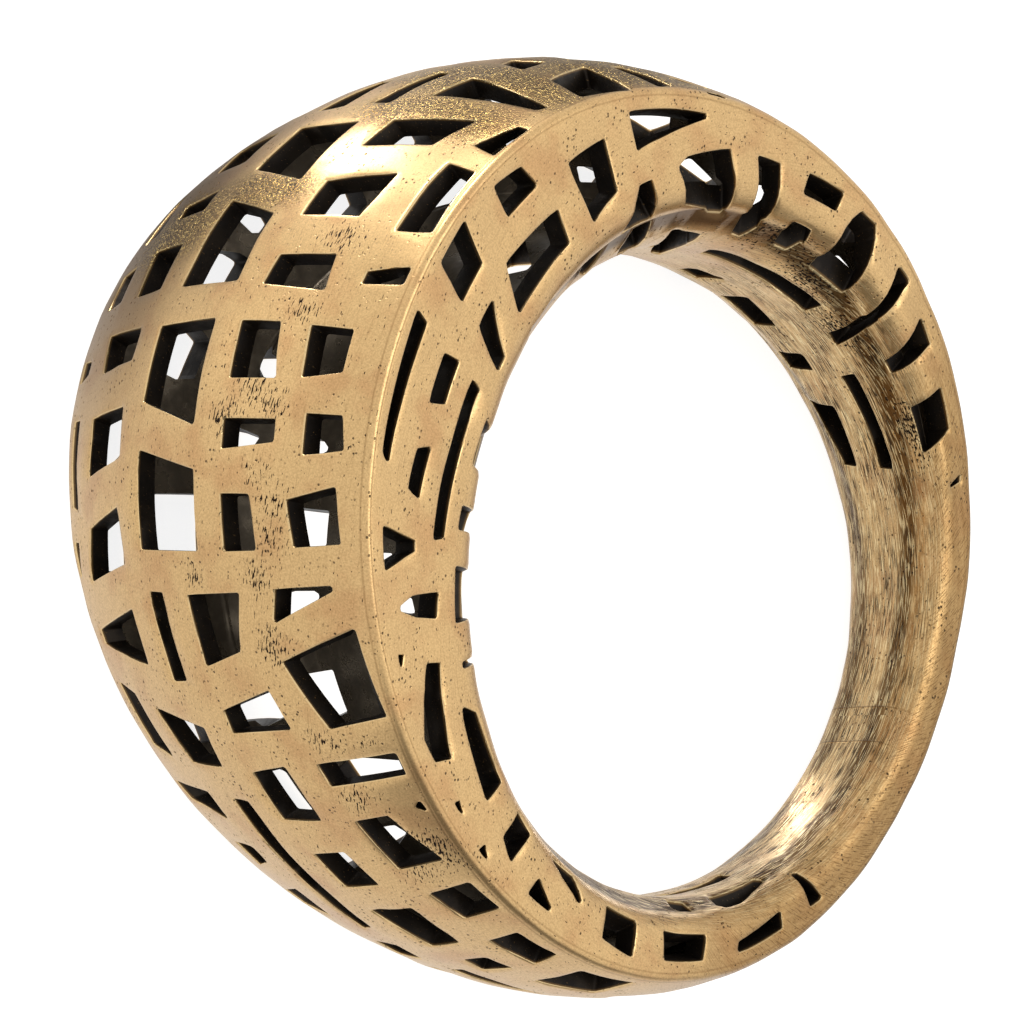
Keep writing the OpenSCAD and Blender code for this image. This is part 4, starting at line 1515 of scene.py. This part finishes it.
@dataclass(frozen=True)
class AntiqueBrass:
    """Cast brass, filed and tumbled to a satin and then antiqued.

    High places are rubbed back to warm gold. Dark oxide stays in the casting pits and in the brush lines,
    which cover the sleeve and the back of the band, and the rims of the gaps are a little brighter.

    Each pattern is followed by the coat that lies in it, and their sizes are in millimetres. Some coats are
    painted light: shade on the dome's lower flank and along the bead, and a dark reflection in the mouth's
    line.
    """

    name: str = "antique_brass"
    tone: Tone = Tone.GOLD
    roughness: float = 0.32
    metallic: float = 1.0

    # Clouds of a rosier tone, as large as the patches that one stroke of the polishing mop leaves
    mottling: Marks = Marks(width=1.3, length=1.7, levels=Levels(0.45, 0.7), detail=5)
    rosy: Coat = Coat(Tone.ROSY, 0.32, share=0.5)
    # Satin grain left by the tumbling, about 0.04 mm in reality and drawn a little coarser, so that it shows
    grain: Marks = Marks(width=0.05, length=0.06, levels=Levels(0.3, 0.7))
    satin: Coat = Coat(Tone.BROWN, 0.4, share=0.3, relief=0.0015)
    # Painted shade on the dome's lower flank, which darkens it like the dark reflection at its limb; and
    # tarnish on the flat side wall at the back, which is rubbed less
    flank_painted_shade: Coat = Coat(Tone.OCHRE, 0.3, share=0.75)
    back_tarnish: Coat = Coat(Tone.OCHRE, 0.32, share=0.45)
    # The casting's own skin where no file went: grains of about 0.1 mm, dark between them and bright on top
    raw_skin: Coat = Coat(Tone.BRONZE, 0.3, share=0.7)
    glitter: Marks = Marks(width=0.07, length=0.09, levels=Levels(0.44, 0.58))
    between_grains: Coat = Coat(Tone.SOOT, 0.4, share=0.75, relief=-0.008)
    glints: Marks = Marks(width=0.06, length=0.08, levels=Levels(0.54, 0.62))
    on_grains: Coat = Coat(Tone.GLINT, 0.22, relief=0.006)
    # Fine scratches of the file all over
    file_lines: Marks = Marks(width=0.04, length=0.9, levels=Levels(0.56, 0.68))
    filed: Coat = Coat(Tone.BROWN, 0.42, share=0.2, relief=-0.002)
    # Dull smears along the brushing
    smears: Marks = Marks(width=0.14, length=1.8, levels=Levels(0.36, 0.64), detail=4)
    smeared: Coat = Coat(Tone.BROWN, 0.38, share=0.7)
    # The dark line round each mouth, where its rounding meets the sleeve, by the distance past the side wall:
    # partly tarnish in that crease, partly a painted dark reflection
    mouth_middle: float = 1.5
    mouth_line: Levels = Levels(0.42, 0.12)
    mouth_tarnish_and_reflection: Coat = Coat(Tone.UMBER, 0.3, share=0.85)
    # Short slanting strokes on the side wall at the back
    hatching: Marks = Marks(width=0.035, length=0.45, levels=Levels(0.54, 0.62), turn=40)
    hatched: Coat = Coat(Tone.UMBER, 0.5, share=0.55, relief=-0.004)
    # Strokes of the brush, which come in patches: bright metal on their ridges and oxide in their grooves
    bright_lines: Marks = Marks(width=0.035, length=0.7, levels=Levels(0.51, 0.61), detail=1)
    ridges: Coat = Coat(Tone.POLISHED, 0.26, share=0.7, relief=0.003)
    brush_lines: Marks = Marks(width=0.032, length=0.85, levels=Levels(0.5, 0.56))
    brush_patches: Marks = Marks(width=0.7, length=2.0, levels=Levels(0.36, 0.58), detail=3)
    grooves: Coat = Coat(Tone.OXIDE, 0.6, share=0.85, relief=-0.006)
    # Lines on both sides of the soft bead along the sharp edge: shallow grooves that the file left, darkened
    # with painted shade where the bead meets the dome and the side wall
    bead_half_width: float = 0.17
    bead_line: Levels = Levels(0.05, 0.0)
    bead_groove_and_shade: Coat = Coat(Tone.BROWN, 0.42, share=0.4, relief=-0.008)
    # The two soldered seams where the band was sized, in degrees from the crown
    seam_angles: tuple[float, float] = (-174.6, 178.4)
    seam_line: Levels = Levels(0.06, 0.0)
    solder: Coat = Coat(Tone.UMBER, 0.5, share=0.5, relief=0.03)
    # Casting pits, in fields, and flakes of scale that crowd where the photograph shows them
    pits: Pits = Pits(spacing=0.17, size=0.045)
    pit_fields: Marks = Marks(width=0.7, length=0.9, levels=Levels(0.48, 0.64), detail=3)
    filled_pits: Coat = Coat(Tone.OXIDE, 0.7, share=0.8, relief=-0.02)
    scale_marks: Marks = Marks(width=0.055, length=0.15, levels=Levels(0.68, 0.71), crowding=0.22)
    scale: Coat = Coat(Tone.OXIDE, 0.7, relief=-0.02)
    # Rims of the gaps, rubbed bright over the outer part of the worn band
    rubbed: Levels = Levels(0.7, 0.95)
    rims: Coat = Coat(Tone.POLISHED, 0.28, share=0.4)

    def material(self) -> bpy.types.Material:
        """Makes the finish's material.

        Returns:
            The material.
        """
        made = plain_metal(self.name, self.metallic)
        tree = made.node_tree
        place = SurfacePlace.on(tree)
        layers = [*self.skin(tree, place), *self.brushing(tree, place), *self.wear(tree, place)]
        lay(made, self.tone, self.roughness, layers)
        return made

    def skin(self, tree: bpy.types.NodeTree, place: SurfacePlace) -> list[Layer]:
        """The satin skin's mottling and grain, painted shade on the dome's lower flank, and the glitter of
        the parts never filed.

        Args:
            tree: The node tree.
            place: Where a point of the skin is.

        Returns:
            The layers from the bottom up.
        """
        grainy = place.marks["grainy"]
        return [
            self.rosy.where(tree, self.mottling.strength(tree, place.body)),
            self.satin.where(tree, self.grain.strength(tree, place.body)),
            # Painted shade on the dome's lower flank
            self.flank_painted_shade.where(tree, place.marks["flank"]),
            self.raw_skin.where(tree, grainy),
            self.between_grains.where(tree, self.glitter.strength(tree, place.body), grainy),
            self.on_grains.where(tree, self.glints.strength(tree, place.body), grainy),
        ]

    def brushing(self, tree: bpy.types.NodeTree, place: SurfacePlace) -> list[Layer]:
        """Lines of the file and of the brush, what they left dark, and the mouth's dark line, which is partly
        a painted reflection.

        Args:
            tree: The node tree.
            place: Where a point of the skin is.

        Returns:
            The layers from the bottom up.
        """
        brushed, hatched = place.marks["brushed"], place.marks["hatched"]
        patches = self.brush_patches.strength(tree, place.chart)
        mouth = self.mouth_line.about(tree, place.marks["mouth"], self.mouth_middle)
        return [
            self.filed.where(tree, self.file_lines.strength(tree, place.chart)),
            self.smeared.where(tree, self.smears.strength(tree, place.chart), place.marks["dull"]),
            self.back_tarnish.where(tree, hatched),
            # The mouth's line: tarnish with a painted dark reflection
            self.mouth_tarnish_and_reflection.where(tree, mouth),
            self.hatched.where(tree, self.hatching.strength(tree, place.chart), hatched),
            self.ridges.where(tree, self.bright_lines.strength(tree, place.chart), brushed),
            self.grooves.where(tree, self.brush_lines.strength(tree, place.chart), brushed, patches),
        ]

    def wear(self, tree: bpy.types.NodeTree, place: SurfacePlace) -> list[Layer]:
        """The bead's two lines with their painted shade, the seams, the pits and scale full of oxide, and the
        rubbed rims.

        Args:
            tree: The node tree.
            place: Where a point of the skin is.

        Returns:
            The layers from the bottom up.
        """
        round_ring = add_node(tree, "ShaderNodeSeparateXYZ", None, {0: place.chart}).outputs["X"]
        fields = self.pit_fields.strength(tree, place.body)
        bead = [
            self.bead_line.about(tree, place.marks["edge"], side)
            for side in (-self.bead_half_width, self.bead_half_width)
        ]
        seams = [
            self.seam_line.about(tree, round_ring, angle * CHART_PER_DEGREE) for angle in self.seam_angles
        ]
        return [
            # The bead's lines: shallow grooves darkened with painted shade
            *(self.bead_groove_and_shade.where(tree, line) for line in bead),
            *(self.solder.where(tree, line, place.marks["brushed"]) for line in seams),
            self.filled_pits.where(tree, self.pits.strength(tree, place.body), fields),
            self.scale.where(tree, self.scale_marks.strength(tree, place.chart, place.marks["pitted"])),
            self.rims.where(tree, self.rubbed.strength(tree, place.marks["worn"])),
        ]


@dataclass(frozen=True)
class BlackenedBrass:
    """Brass blackened by liver of sulphur where polishing never reaches: dark, with clouds of black.

    A few flecks of bare metal glint through, and the worn rims are bare. The gaps' walls are nearly black and
    dull, and the hollow is a little lighter and glossier.

    Attributes:
        name: The material's name.
        tone: Tone of the thinner blackening.
        roughness: Its roughness.
        cloud: The thicker, sooty blackening in the clouds.
        fleck: What shows in the flecks.
        rim: What shows on the worn rims.
        clouds: Pattern of the clouds.
        flecks: Pattern of the flecks.
        rubbed: How worn the rims are where they are bare.
        metallic: How much of the blackened metal still mirrors as metal.
    """

    name: str
    tone: Tone
    roughness: float
    cloud: Coat = Coat(Tone.BLACK, 0.6, share=0.7, relief=0.01)
    fleck: Coat = Coat(Tone.BARE, 0.4, share=0.4, relief=0.01)
    rim: Coat = Coat(Tone.BARE, 0.4, share=0.5)
    clouds: Marks = Marks(width=0.5, length=0.5, levels=Levels(0.35, 0.65), detail=4)
    flecks: Marks = Marks(width=0.05, length=0.09, levels=Levels(0.66, 0.72), detail=3)
    rubbed: Levels = Levels(0.88, 1.0)
    metallic: float = 0.7

    def material(self) -> bpy.types.Material:
        """Makes the finish's material.

        Returns:
            The material.
        """
        made = plain_metal(self.name, self.metallic)
        tree = made.node_tree
        body = body_place(tree)
        layers = [
            self.cloud.where(tree, self.clouds.strength(tree, body)),
            self.fleck.where(tree, self.flecks.strength(tree, body)),
            self.rim.where(tree, self.rubbed.strength(tree, surface_mark(tree, "worn"))),
        ]
        lay(made, self.tone, self.roughness, layers)
        return made


# The finish of each part of the casting
FINISHES: dict[CastingFinish, AntiqueBrass | BlackenedBrass] = {
    CastingFinish.OUTSIDE: AntiqueBrass(),
    CastingFinish.GAP_WALL: BlackenedBrass("blackened_gap_walls", Tone.GAP_WALL, 0.45),
    CastingFinish.HOLLOW: BlackenedBrass(
        "blackened_hollow",
        Tone.HOLLOW,
        0.26,
        cloud=Coat(Tone.BLACK, 0.6, share=0.35, relief=0.01),
        fleck=Coat(Tone.BARE, 0.4, share=0.3, relief=0.01),
    ),
}


@dataclass(frozen=True)
class Glow:
    """A soft round spot of the floor that glows more than the rest, or less.

    Attributes:
        place: Its middle on the floor, in millimetres.
        radius: Its radius in millimetres.
        strength: How much more it glows at its middle, below 0 where it glows less.
    """

    place: tuple[float, float]
    radius: float
    strength: float

    def over(
        self, tree: bpy.types.NodeTree, place: bpy.types.NodeSocket, ground: bpy.types.NodeSocket
    ) -> bpy.types.NodeSocket:
        """Adds the spot to the floor's glow.

        Args:
            tree: The node tree.
            place: Where a point of the floor is, in millimetres.
            ground: The glow without the spot.

        Returns:
            The glow with it.
        """
        away = add_node(
            tree, "ShaderNodeVectorMath", {"operation": "DISTANCE"}, {0: place, 1: (*self.place, 0.0)}
        )
        spot = Levels(self.radius, 0.0).strength(tree, away.outputs["Value"])
        glow = {0: spot, 1: self.strength, 2: ground}
        return add_node(tree, "ShaderNodeMath", {"operation": "MULTIPLY_ADD"}, glow).outputs[0]


@dataclass(frozen=True)
class Flag:
    """A dark screen far off to one side, which gives the metal something dark to reflect.

    Attributes:
        toward: Degrees round from +X to the side that the flag stands on.
        spread: Cosines of the angles from there at which it begins and is full.
        shade: How much light it takes away.
    """

    toward: float = 120.0
    spread: Levels = Levels(0.68, 0.84)
    shade: float = 0.8

    def light(
        self, tree: bpy.types.NodeTree, direction: bpy.types.NodeSocket, reach: bpy.types.NodeSocket
    ) -> bpy.types.NodeSocket:
        """The share of light that comes past the flag.

        Args:
            tree: The node tree.
            direction: Where the light comes from.
            reach: How far the flag reaches there, from 0 to 1.

        Returns:
            The share.
        """
        turn = math.radians(self.toward)
        ahead = add_node(
            tree,
            "ShaderNodeVectorMath",
            {"operation": "DOT_PRODUCT"},
            {0: direction, 1: (math.cos(turn), math.sin(turn), 0.0)},
        )
        dark = overlap(tree, self.spread.strength(tree, ahead.outputs["Value"]), reach, self.shade)
        return add_node(tree, "ShaderNodeMath", {"operation": "SUBTRACT"}, {0: 1.0, 1: dark}).outputs[0]


@dataclass(frozen=True)
class Softbox:
    """A soft area light that looks at the ring.

    Attributes:
        name: The light's name.
        place: Where it hangs, in metres.
        width: Its width in metres.
        power: Its power in watts.
    """

    name: str
    place: tuple[float, float, float]
    width: float
    power: float

    def add(self, target: Vector) -> None:
        """Hangs the light.

        Args:
            target: The point that it faces.
        """
        lamp = bpy.data.lights.new(self.name, "AREA")
        lamp.shape = "SQUARE"
        lamp.size = self.width
        lamp.energy = self.power
        holder = bpy.data.objects.new(self.name, lamp)
        holder.location = self.place
        holder.rotation_mode = "QUATERNION"
        holder.rotation_quaternion = (target - Vector(self.place)).to_track_quat("-Z", "Y")
        bpy.context.scene.collection.objects.link(holder)


@dataclass
class Studio:
    """The pale floor, the soft lights and the camera at the photograph's angle.

    Attributes:
        hole: The middle of the finger hole.
        placing: Takes the ring's own frame to the row's frame.
        crown_turn: Degrees that the crown is turned from the view's left, about the finger's axis.
        look_down: Degrees between the finger's axis and the line of sight.
        roll: Degrees that the camera is rolled.
        distance: Metres from the camera to the middle of the finger hole.
        lens: Focal length in millimetres.
        sensor: Width of the camera's sensor in millimetres.
        near_clip: Metres from the camera from which it sees things.
        aim_left: Millimetres that the aim lies left of the middle of the finger hole.
        aim_up: Millimetres that it lies above it.
        floor_half: Half the width of the floor in metres.
        floor_colour: The floor's sRGB colour.
        floor_roughness: Its roughness.
        floor_glow: Glow of the light table that the ring lies on, as the camera sees it.
        table_light: Glow of the table as the ring reflects it.
        lamps: Soft spots of the table over its lamps, which the dome and the sleeve reflect.
        cards: Dark cards on the table, which darken the limb of the dome and the far mouth.
        table_edge: Millimetres from the middle over which the flag begins to shade the table.
        flag_top: Heights of a direction, as sines, between which the flag ends in the surroundings.
        flag: The dark flag.
        surroundings: Brightness of the pale surroundings.
        softboxes: The soft lights.
    """

    hole: Vector
    placing: Matrix
    crown_turn: float = 28.407
    look_down: float = 39.6185
    roll: float = 2.2592
    distance: float = 0.36139
    lens: float = 474.84
    sensor: float = 36
    near_clip: float = 0.01
    aim_left: float = 3.3337
    aim_up: float = 1.6085
    floor_half: float = 1.5
    floor_colour: str = "#a9a8a6"
    floor_roughness: float = 0.9
    floor_glow: float = 0.85
    table_light: float = 1.0
    lamps: tuple[Glow, ...] = (
        Glow((18.9, -16.7), 5.5, 22.0),
        Glow((48.0, -5.0), 34.0, 0.5),
        Glow((-9.7, 1.75), 1.0, 10.0),
    )
    cards: tuple[Glow, ...] = (
        Glow((5.0, -20.0), 16.0, -0.75),
        Glow((12.0, -5.0), 9.0, -0.75),
        Glow((-28.0, -2.0), 15.0, -0.85),
    )
    table_edge: Levels = Levels(24.0, 42.0)
    flag_top: Levels = Levels(0.64, 0.5)
    flag: Flag = Flag()
    surroundings: float = 1.05
    softboxes: tuple[Softbox, ...] = (
        Softbox("key", (0.18, -0.24, 0.03), 0.09, 0.5),
        Softbox("fill", (-0.25, -0.1, 0.35), 0.2, 0.3),
    )

    def camera(self) -> None:
        """Sets up the camera."""
        turn, pitch, roll = (math.radians(x) for x in (self.crown_turn, self.look_down, self.roll))
        axes = self.placing.to_3x3()
        crown = axes @ Vector((1, 0, 0))
        across = axes @ Vector((0, -1, 0))
        axis = axes @ Vector((0, 0, 1))
        level = crown * math.cos(turn) - across * math.sin(turn)
        upward = crown * math.sin(turn) + across * math.cos(turn)
        right = axis * math.sin(pitch) - level * math.cos(pitch)
        back = axis * math.cos(pitch) + level * math.sin(pitch)
        rolled_right = right * math.cos(roll) - upward * math.sin(roll)
        rolled_up = right * math.sin(roll) + upward * math.cos(roll)
        place = self.hole + back * self.distance
        aim = self.hole - rolled_right * (self.aim_left * MM) + rolled_up * (self.aim_up * MM)
        toward = (place - aim).normalized()
        side = rolled_up.cross(toward).normalized()
        lens = bpy.data.cameras.new("camera")
        lens.lens = self.lens
        lens.sensor_width = self.sensor
        lens.clip_start = self.near_clip
        holder = bpy.data.objects.new("camera", lens)
        turned = Matrix((side, toward.cross(side), toward)).transposed().to_4x4()
        holder.matrix_world = Matrix.Translation(place) @ turned
        bpy.context.scene.collection.objects.link(holder)
        bpy.context.scene.camera = holder

    def floor(self) -> None:
        """Lays the pale floor that the ring rests on."""
        bm = bmesh.new()
        bmesh.ops.create_grid(bm, x_segments=1, y_segments=1, size=self.floor_half)
        mesh = bpy.data.meshes.new("floor")
        bm.to_mesh(mesh)
        bm.free()
        sheet = bpy.data.objects.new("floor", mesh)
        # Matt paper over a light table: white to the camera, with lamps and cards for the metal to reflect
        made = bpy.data.materials.new("pale_paper")
        made.use_nodes = True
        tree = made.node_tree
        shader = tree.nodes["Principled BSDF"]
        shader.inputs["Base Color"].default_value = linear(self.floor_colour)
        shader.inputs["Roughness"].default_value = self.floor_roughness
        shader.inputs["Emission Color"].default_value = (1, 1, 1, 1)
        shader.inputs["Emission Strength"].default_value = self.floor_glow
        seen = add_node(tree, "ShaderNodeLightPath").outputs["Is Camera Ray"]
        table = add_node(tree, "ShaderNodeEmission", None, {"Strength": self.table_glow(tree)})
        either = add_node(
            tree, "ShaderNodeMixShader", None, {0: seen, 1: table.outputs[0], 2: shader.outputs[0]}
        )
        tree.links.new(either.outputs[0], tree.nodes["Material Output"].inputs["Surface"])
        mesh.materials.append(made)
        bpy.context.scene.collection.objects.link(sheet)

    def table_glow(self, tree: bpy.types.NodeTree) -> bpy.types.NodeSocket:
        """The light table as the ring reflects it: pale, dark toward the flag and hot over its lamps.

        Args:
            tree: The floor's node tree.

        Returns:
            The strength of its glow.
        """
        place = body_place(tree)
        away = add_node(tree, "ShaderNodeVectorMath", {"operation": "LENGTH"}, {0: place})
        direction = add_node(tree, "ShaderNodeVectorMath", {"operation": "NORMALIZE"}, {0: place})
        far = self.table_edge.strength(tree, away.outputs["Value"])
        glow = overlap(tree, self.flag.light(tree, direction.outputs[0], far), self.table_light)
        for spot in (*self.lamps, *self.cards):
            glow = spot.over(tree, place, glow)
        return glow

    def surround(self) -> None:
        """Sets the pale surroundings, which hold the dark flag only where the ring reflects them."""
        world = bpy.data.worlds.new("studio")
        world.use_nodes = True
        tree = world.node_tree
        direction = add_node(tree, "ShaderNodeTexCoord").outputs["Generated"]
        height = add_node(tree, "ShaderNodeSeparateXYZ", None, {0: direction}).outputs["Z"]
        past_flag = self.flag.light(tree, direction, self.flag_top.strength(tree, height))
        seen = add_node(tree, "ShaderNodeLightPath").outputs["Is Camera Ray"]
        share = add_node(tree, "ShaderNodeMath", {"operation": "MAXIMUM"}, {0: seen, 1: past_flag})
        background = tree.nodes["Background"]
        background.inputs["Color"].default_value = (1, 1, 1, 1)
        strength = overlap(tree, share.outputs[0], self.surroundings)
        tree.links.new(strength, background.inputs["Strength"])
        bpy.context.scene.world = world

    def lights(self) -> None:
        """Hangs the soft lights, and shows all light as it is, without a film look."""
        for box in self.softboxes:
            box.add(self.hole)
        bpy.context.scene.view_settings.view_transform = "Standard"

    def build(self) -> None:
        """Sets up the whole studio."""
        self.camera()
        self.floor()
        self.surround()
        self.lights()


def ring_placing() -> Matrix:
    """The matrix that takes the ring's own frame to the row's frame, from the finger hole's mount.

    Returns:
        The matrix, in metres.
    """
    mount = next(m for m in frame["record"]["mounts"] if m["name"] == "finger_hole")
    axis = Vector(mount["axis"]).normalized()
    across = Vector((0, 1, 0))
    axes = Matrix((across.cross(axis), across, axis)).transposed().to_4x4()
    return Matrix.Translation(Vector(mount["pos_m"])) @ axes


def main() -> None:
    """Builds the studio and the ring."""
    logging.basicConfig(level=logging.INFO, format="%(name)s: %(message)s")
    placing = ring_placing()
    Studio(hole=placing.translation, placing=placing).build()
    casting = Casting().build(placing)
    for part in CastingFinish:
        casting.data.materials.append(FINISHES[part].material())
    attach(casting, BODY)
    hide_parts(NODE)
    bpy.context.view_layer.update()


if __name__ == "__main__":
    main()
